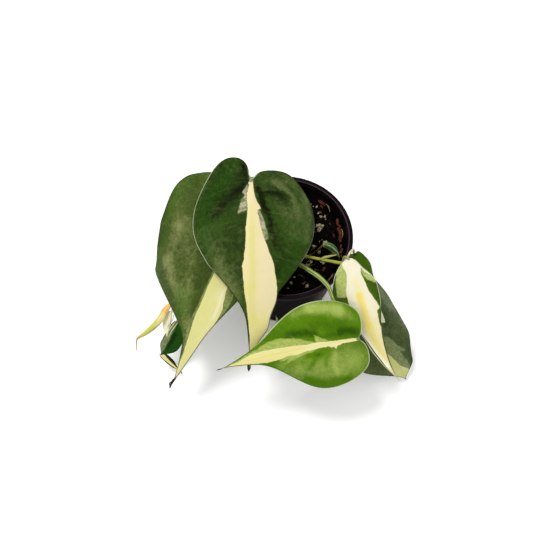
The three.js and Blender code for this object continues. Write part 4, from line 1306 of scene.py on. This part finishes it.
def make_crumb(material):
    """Loose lumps of the mix lying on it."""
    shape = ball(2)
    rng = np.random.default_rng(SEEDS["crumb"])
    parts = []
    while len(parts) < COUNTS["crumb"]:
        x, y = scattered(rng, SOIL_EDGE - 1.2)
        radius = rng.uniform(.35, 1.1)
        if far_from_stems(x, y, 2.2 + radius):
            made = lump(shape, radius, 3000 + 5 * len(parts), .35, .7)
            parts.append(laid(*made, x, y, .15 * radius))
    add_to_mix("soil_crumb", parts, material)


def chip(length, width, thickness, seed):
    """A bark chip: a ball pressed flat, with blunt ends and torn faces."""
    points, faces = ball(4)
    points = np.sign(points) * np.abs(points) ** .55 * (length / 2, width / 2, thickness / 2)
    push = waves(points, 2.4, seed) * .16 + waves(points, 1, seed + 1) * .08
    return points * (1 + push[:, None] * (.5, 1, 1.2)), faces


def make_bark(material):
    rng = np.random.default_rng(SEEDS["bark"])
    parts = []
    chips = [(x, y, size, 5.2, 2) for x, y, size in SEEN_BARK]
    while len(chips) < COUNTS["bark"]:
        x, y = scattered(rng, SOIL_EDGE - 4)
        size = rng.uniform(.4, .9)
        if far_from_stems(x, y, 4.5):
            chips.append((x, y, size, rng.uniform(3, 5), rng.uniform(1.2, 2.2)))
    for i, (x, y, size, length, width) in enumerate(chips):
        points, faces = chip(length * size, width * size, 1.1 * size, 500 + 3 * i)
        turn = math.atan2(y, x) + math.pi / 2 + rng.uniform(-.5, .5)
        if i >= len(SEEN_BARK):
            turn = rng.uniform(0, math.pi)
        matrix = np.array(Euler((rng.uniform(-.3, .3), rng.uniform(-.25, .25), turn)).to_matrix())
        parts.append(laid(points @ matrix.T, faces, x, y, .35))
    add_to_mix("bark_chips", parts, material)


HUSKS = [
    [(24.6, 27, 60.4), (25.6, 25.6, 61), (26.8, 23.6, 61), (27.6, 20.4, 60.4)],
    [(34.2, 9.4, 60), (34.7, 7.2, 60.6), (34.8, 5, 60.6), (34.2, 3, 60)],
    [(25.2, -24.2, 59.6), (26.5, -23, 60.2), (27.6, -21.4, 60.2), (28.2, -19.6, 59.6)],
]


def make_fibres(material):
    """Fine husk threads lying on the mix, and the pale curls of three thick ones."""
    rng = np.random.default_rng(SEEDS["fibres"])
    parts = []
    while len(parts) < COUNTS["fibres"]:
        x, y = scattered(rng, SOIL_EDGE - 5)
        heading, bend, length = rng.uniform(0, 2 * math.pi), rng.uniform(-.5, .5), rng.uniform(2, 6)
        route = []
        for k in range(5):
            route.append((x, y, float(soil_height(x, y)) + .45 + .2 * math.sin(k + heading)))
            x += length / 4 * math.cos(heading)
            y += length / 4 * math.sin(heading)
            heading += bend
        if math.hypot(x, y) < SOIL_EDGE - 1:
            parts.append(tube_mesh(route, (.09, .11, .06), 5, .5))
    for husk in HUSKS:
        parts.append(tube_mesh(husk, (.14, .34, .36, .12), 8, .4, squash=.6))
    points, faces, uv = joined(parts)
    add_piece("husk_fibres", points, faces, material, "soil", uv=uv)


# Stems and stalks

def noded(places, reach=1.1, size=.28):
    """A stem swelling at its nodes, at shares of its length."""
    def swell(share, along):
        total = 1 + .03 * np.sin(along * .9) + .02 * np.sin(along * 2.3 + 1)
        for place in places:
            total += size * np.exp(-((along - place * along[-1]) / reach) ** 2)
        return total
    return swell


def stalk_route(leaf):
    blade = Blade(leaf)
    route = [tuple(p) for p in leaf["stalk"]]
    radius = leaf["stalk_radius"][-1]
    for along, below in ((0, radius + .4), (STALK_REACH, STALK_END + .5)):
        place, _, up, _ = blade.frame(np.array([float(along)]))
        route.append(tuple(place[0] - up[0] * below))
    return route


def upward(points, faces):
    """How far each point of a tube looks up, from -1 to 1."""
    quads = np.array([face for face in faces if len(face) == 4])
    total = np.zeros_like(points)
    p = points[quads]
    across = np.cross(p[:, 2] - p[:, 0], p[:, 3] - p[:, 1])
    for k in range(4):
        np.add.at(total, quads[:, k], across)
    return total[:, 2] / np.maximum(np.linalg.norm(total, axis=1), 1e-9)


def add_tube(name, tube, material, replaced):
    points, faces, uv = tube
    add_piece(name, points, faces, material, replaced, uv=uv,
                     fields=dict(top=upward(points, faces)))


def make_stalk(name, material):
    """A leaf's stalk, thinning where it runs under the blade into the midrib."""
    leaf = LEAVES[name]
    route = stalk_route(leaf)
    seen = leaf.get("stalk_seen", leaf["stalk_radius"])
    radii = list(seen) + [seen[-1]] * (len(route) - 1 - len(seen)) + [STALK_END]

    def swell(share, along):
        return 1 + .02 * np.sin(along * 1.3)

    add_tube(name + "_stalk", tube_mesh(route, radii, 20, .5, swell), material, name)


def make_stems(vine_material, bud_material, orange):
    """Both vines with the swellings at their nodes, the bud and the leaf that is still rolled."""
    for name, nodes in (("vine_right", (.58, .985)), ("vine_left", (.55, .97))):
        vine = VINES[name]
        tube = tube_mesh(vine["route"], vine["radii"], 22, .5, noded(nodes))
        add_tube(name + "_stem", tube, vine_material, name)
    add_tube("vine_right_bud", tube_mesh(BUD["route"], BUD["radii"], 16, .35), bud_material,
             "vine_right")
    add_tube("leaf_rolled_spear", tube_mesh(ROLLED_LEAF["route"], ROLLED_LEAF["radii"], 26, .4), orange,
             "leaf_rolled")


def dried_material():
    """Dead brown-black tissue."""
    n = Nodes("dried_tip")
    fibre = n.noise(n.place(1.2), 3)
    body = n.mix(n.step(fibre, .4, .65), colour(26, 18, 8), colour(88, 72, 40))
    return n.finish(Base_Color=body, Roughness=.85, Specular_IOR_Level=.05,
                    Normal=n.bump(fibre, .6, .15))


def make_tips(dead, pale):
    """Dried leaf tips, pale tubes along the small leaf's folded edges as painted highlights, and a cream
    spur by the low leaf.
    """
    for name, (replaced, slot, runs) in TIPS.items():
        tube = joined([tube_mesh(route, radii, 12, .25, squash=.6) for route, radii in runs])
        add_tube(name, tube, pale if name in PALE_TIPS else dead, replaced)


def rolled_material():
    """The new leaf, still rolled: orange at its foot, yellow-green in the middle, a tan tail, and painted
    shade on its underside.
    """
    n = Nodes("rolled_leaf")
    wobble = n.plus(n.rows()[0], n.times(n.noise(n.place(.4), 2), .08))
    body = n.mix(n.step(wobble, .26, .36), colour(255, 204, 118), colour(250, 236, 156))
    body = n.mix(n.step(wobble, .38, .5), body, colour(206, 208, 92))
    # Painted shade: olive where the rolled leaf looks down.
    body = n.mix(n.times(n.step(n.field("top"), .35, -.5), .55), body, colour(120, 128, 36))
    body = n.mix(n.step(wobble, .58, .78), body, colour(196, 160, 84))
    lines = n.fibres(3, 12, 2)
    body = n.mix(n.times(n.step(lines, .5, .64), .45), body, colour(96, 110, 44))
    return n.finish(Base_Color=body, Roughness=.45, Specular_IOR_Level=.3,
                    Normal=n.bump(lines, .4, .15))


def papery_material():
    n = Nodes("sheath_paper")
    lines = n.fibres(6, 30, 3)
    blotch = n.noise(n.place(.5), 3)
    body = n.mix(n.step(blotch, .35, .65), colour(252, 240, 186), colour(255, 253, 228))
    body = n.mix(n.times(n.step(lines, .5, .7), .3), body, colour(206, 182, 112))
    return n.finish(Base_Color=body, Roughness=.6, Specular_IOR_Level=.25,
                    Normal=n.bump(lines, .5, .15))


# Leaf colours, as seen

TONES = {
    "leaf_front": dict(
        dark=colour(40, 60, 18), light=colour(54, 80, 24), deep=colour(18, 26, 6),
        sheen=colour(100, 112, 62), pale=colour(186, 182, 150), pale_deep=colour(116, 124, 84),
        cream=colour(242, 228, 180), yellow=colour(230, 222, 134), blush=colour(234, 212, 158),
        rib=colour(222, 222, 160), edge=colour(206, 214, 176), fringe=colour(98, 104, 36),
        accent=colour(40, 80, 10), accent_reach=5, accent_share=.6, mottle=1.2, uneven=.22,
        streaks=.28),
    "leaf_left": dict(
        dark=colour(60, 76, 26), light=colour(74, 92, 36), deep=colour(48, 62, 20),
        sheen=colour(136, 142, 86), pale=colour(134, 144, 84), pale_deep=colour(108, 120, 62),
        cream=colour(238, 232, 184), yellow=colour(220, 216, 138), rib=colour(236, 232, 190),
        edge=colour(56, 76, 30), edge_dark=colour(34, 52, 16), fringe=colour(120, 124, 76),
        dry=colour(34, 24, 12), dry_from=.9, accent=colour(78, 112, 38), accent_reach=6,
        accent_share=.6, mottle=1, uneven=.2),
    "leaf_low": dict(
        dark=colour(74, 116, 6), light=colour(90, 132, 12), deep=colour(46, 84, 4),
        sheen=colour(164, 184, 88), pale=colour(178, 192, 100), pale_deep=colour(154, 174, 80),
        cream=colour(244, 236, 176), yellow=colour(236, 226, 138), rib=colour(240, 234, 170),
        edge=colour(214, 220, 166), fringe=colour(126, 150, 50), rib_share=.15, mottle=.45, uneven=.06,
        streaks=.08),
    "leaf_cream": dict(
        dark=colour(62, 92, 14), light=colour(80, 108, 24), deep=colour(40, 70, 8),
        sheen=colour(118, 148, 60), pale=colour(192, 204, 120), pale_deep=colour(172, 188, 100),
        cream=colour(252, 246, 220), cream_lit=(.98, .95, .82, 1),
        yellow=colour(250, 230, 116), blush=colour(248, 240, 206),
        rib=colour(244, 238, 200), edge=colour(240, 234, 204), edge_dark=colour(58, 84, 16),
        fringe=colour(150, 170, 80), rib_share=.1, edge_dark_share=.6, seam=colour(84, 104, 14)),
    "leaf_right": dict(
        dark=colour(72, 84, 48), light=colour(90, 102, 66), deep=colour(48, 60, 28),
        sheen=colour(132, 140, 110), pale=colour(134, 144, 98), pale_deep=colour(116, 128, 82),
        cream=colour(240, 236, 204), yellow=colour(206, 208, 130), rib=colour(130, 146, 96),
        edge=colour(150, 156, 120), edge_dark=colour(40, 56, 20), fringe=colour(126, 140, 92),
        accent=colour(66, 100, 12), rib_share=.2, edge_share=.7, mottle=.8, uneven=.18, specular=0.0,
        under_share=0.0),
    "leaf_young": dict(
        dark=colour(44, 72, 34), light=colour(62, 92, 46), deep=colour(30, 54, 26),
        sheen=colour(110, 134, 90), pale=colour(150, 166, 110), cream=colour(178, 190, 132),
        yellow=colour(170, 182, 112), rib=colour(150, 164, 110), edge=colour(140, 160, 96)),
    "leaf_small": dict(
        dark=colour(24, 70, 8), light=colour(32, 80, 12), deep=colour(12, 42, 6),
        sheen=colour(70, 112, 44), pale=colour(134, 143, 98), pale_deep=colour(106, 120, 74),
        cream=colour(226, 222, 160), yellow=colour(220, 214, 140), rib=colour(60, 92, 36),
        edge=colour(58, 78, 34)),
    "leaf_small_end": dict(
        dark=colour(34, 38, 16), light=colour(52, 56, 22), deep=colour(22, 24, 10),
        sheen=colour(84, 88, 40), pale=colour(150, 160, 110), cream=colour(240, 236, 178),
        yellow=colour(230, 222, 120), rib=colour(240, 234, 180), edge=colour(34, 36, 16)),
}


def make_leaves():
    stem = stem_material("leaf_stalk", colour(140, 166, 58), colour(66, 92, 22), colour(226, 228, 164))
    tan = stem_material("young_stalk", colour(150, 124, 62), colour(78, 66, 24), colour(180, 156, 96), .3)
    pale = stem_material("pale_stalk", colour(246, 232, 198), colour(176, 158, 110), colour(246, 236, 210))
    green = stem_material("short_stalk", colour(160, 164, 74), colour(84, 100, 30), colour(212, 210, 140))
    stalks = dict(leaf_young=tan, leaf_right=pale, leaf_front=pale, leaf_cream=green)
    slots = dict(leaf_front="leaf_green", leaf_left="leaf_green", leaf_low="leaf_light",
                 leaf_cream="leaf_pale", leaf_right="leaf_green", leaf_young="leaf_green")
    for name, slot in slots.items():
        fine = SMALL_FINE if name == "leaf_young" else BLADE_FINE
        make_blade(name, fine, leaf_material(name, TONES[name]), name)
        make_stalk(name, stalks.get(name, stem))
    for name in ("leaf_small", "leaf_small_end"):
        surface = leaf_material(name, TONES[name], SMALL_FEATHER)
        make_blade(name, SMALL_FINE, surface, "leaf_small")
    make_stalk("leaf_small", stem)
    paper = papery_material()
    make_blade("sheath_papery", SMALL_FINE, paper, "sheath_papery")
    make_stalk("sheath_papery", paper)


def make_pot_and_soil():
    make_pot(pot_material())
    make_soil(soil_material("potting_mix", colour(9, 6, 5), colour(22, 14, 11), .6))
    make_crumb(soil_material("mix_crumb", colour(11, 8, 6), colour(38, 22, 15), .5))
    make_perlite(perlite_material())
    make_bark(bark_material())
    make_fibres(husk_material())


# Floor, world and lights

FLOOR_GLOW = .08
FLOOR_REACH = 3.0
WORLD_LIGHT = .93
KEY_LIGHT = dict(place=(-.34, .16, 1.25), size=.32, power=7.7)


def add_stage():
    half = FLOOR_REACH
    mesh = bpy.data.meshes.new("floor")
    mesh.from_pydata([(-half, -half, 0), (half, -half, 0), (half, half, 0), (-half, half, 0)],
                     [], [(0, 1, 2, 3)])
    floor = bpy.data.objects.new("floor", mesh)
    bpy.context.scene.collection.objects.link(floor)
    n = Nodes("floor")
    cloud = n.noise(n.place(.01), 2)
    body = n.mix(cloud, (.95, .95, .95, 1), (.975, .975, .97, 1))
    mesh.materials.append(n.finish(Base_Color=body, Roughness=.9, Specular_IOR_Level=.1,
                                   Emission_Color=(1, 1, 1, 1), Emission_Strength=FLOOR_GLOW))


def add_key_light():
    """A soft round light from above and behind the left, aimed at the foot of the pot."""
    data = bpy.data.lights.new("key", "AREA")
    data.shape = "DISK"
    data.size = KEY_LIGHT["size"]
    data.energy = KEY_LIGHT["power"]
    light = bpy.data.objects.new("key", data)
    light.location = KEY_LIGHT["place"]
    light.rotation_euler = (-light.location).to_track_quat("-Z", "Y").to_euler()
    bpy.context.scene.collection.objects.link(light)


def add_world():
    world = bpy.data.worlds.new("studio")
    world.use_nodes = True
    background = world.node_tree.nodes["Background"]
    background.inputs["Color"].default_value = (1, 1, 1, 1)
    background.inputs["Strength"].default_value = WORLD_LIGHT
    bpy.context.scene.world = world


bpy.context.scene.view_settings.view_transform = "Standard"
make_pot_and_soil()
vine = stem_material("vine", colour(170, 176, 60), colour(84, 84, 20), colour(206, 206, 104), .3)
bud = stem_material("bud", colour(176, 182, 90), colour(104, 112, 44), colour(206, 206, 130))
make_stems(vine, bud, rolled_material())
make_leaves()
# Pale tubes for the cream spur, and for painted highlights along the small leaf's folds.
pale = stem_material("pale_spur_and_fold_highlight", colour(204, 208, 160), colour(150, 156, 108), colour(226, 226, 190), .3)
make_tips(dried_material(), pale)
add_stage()
add_world()
add_key_light()
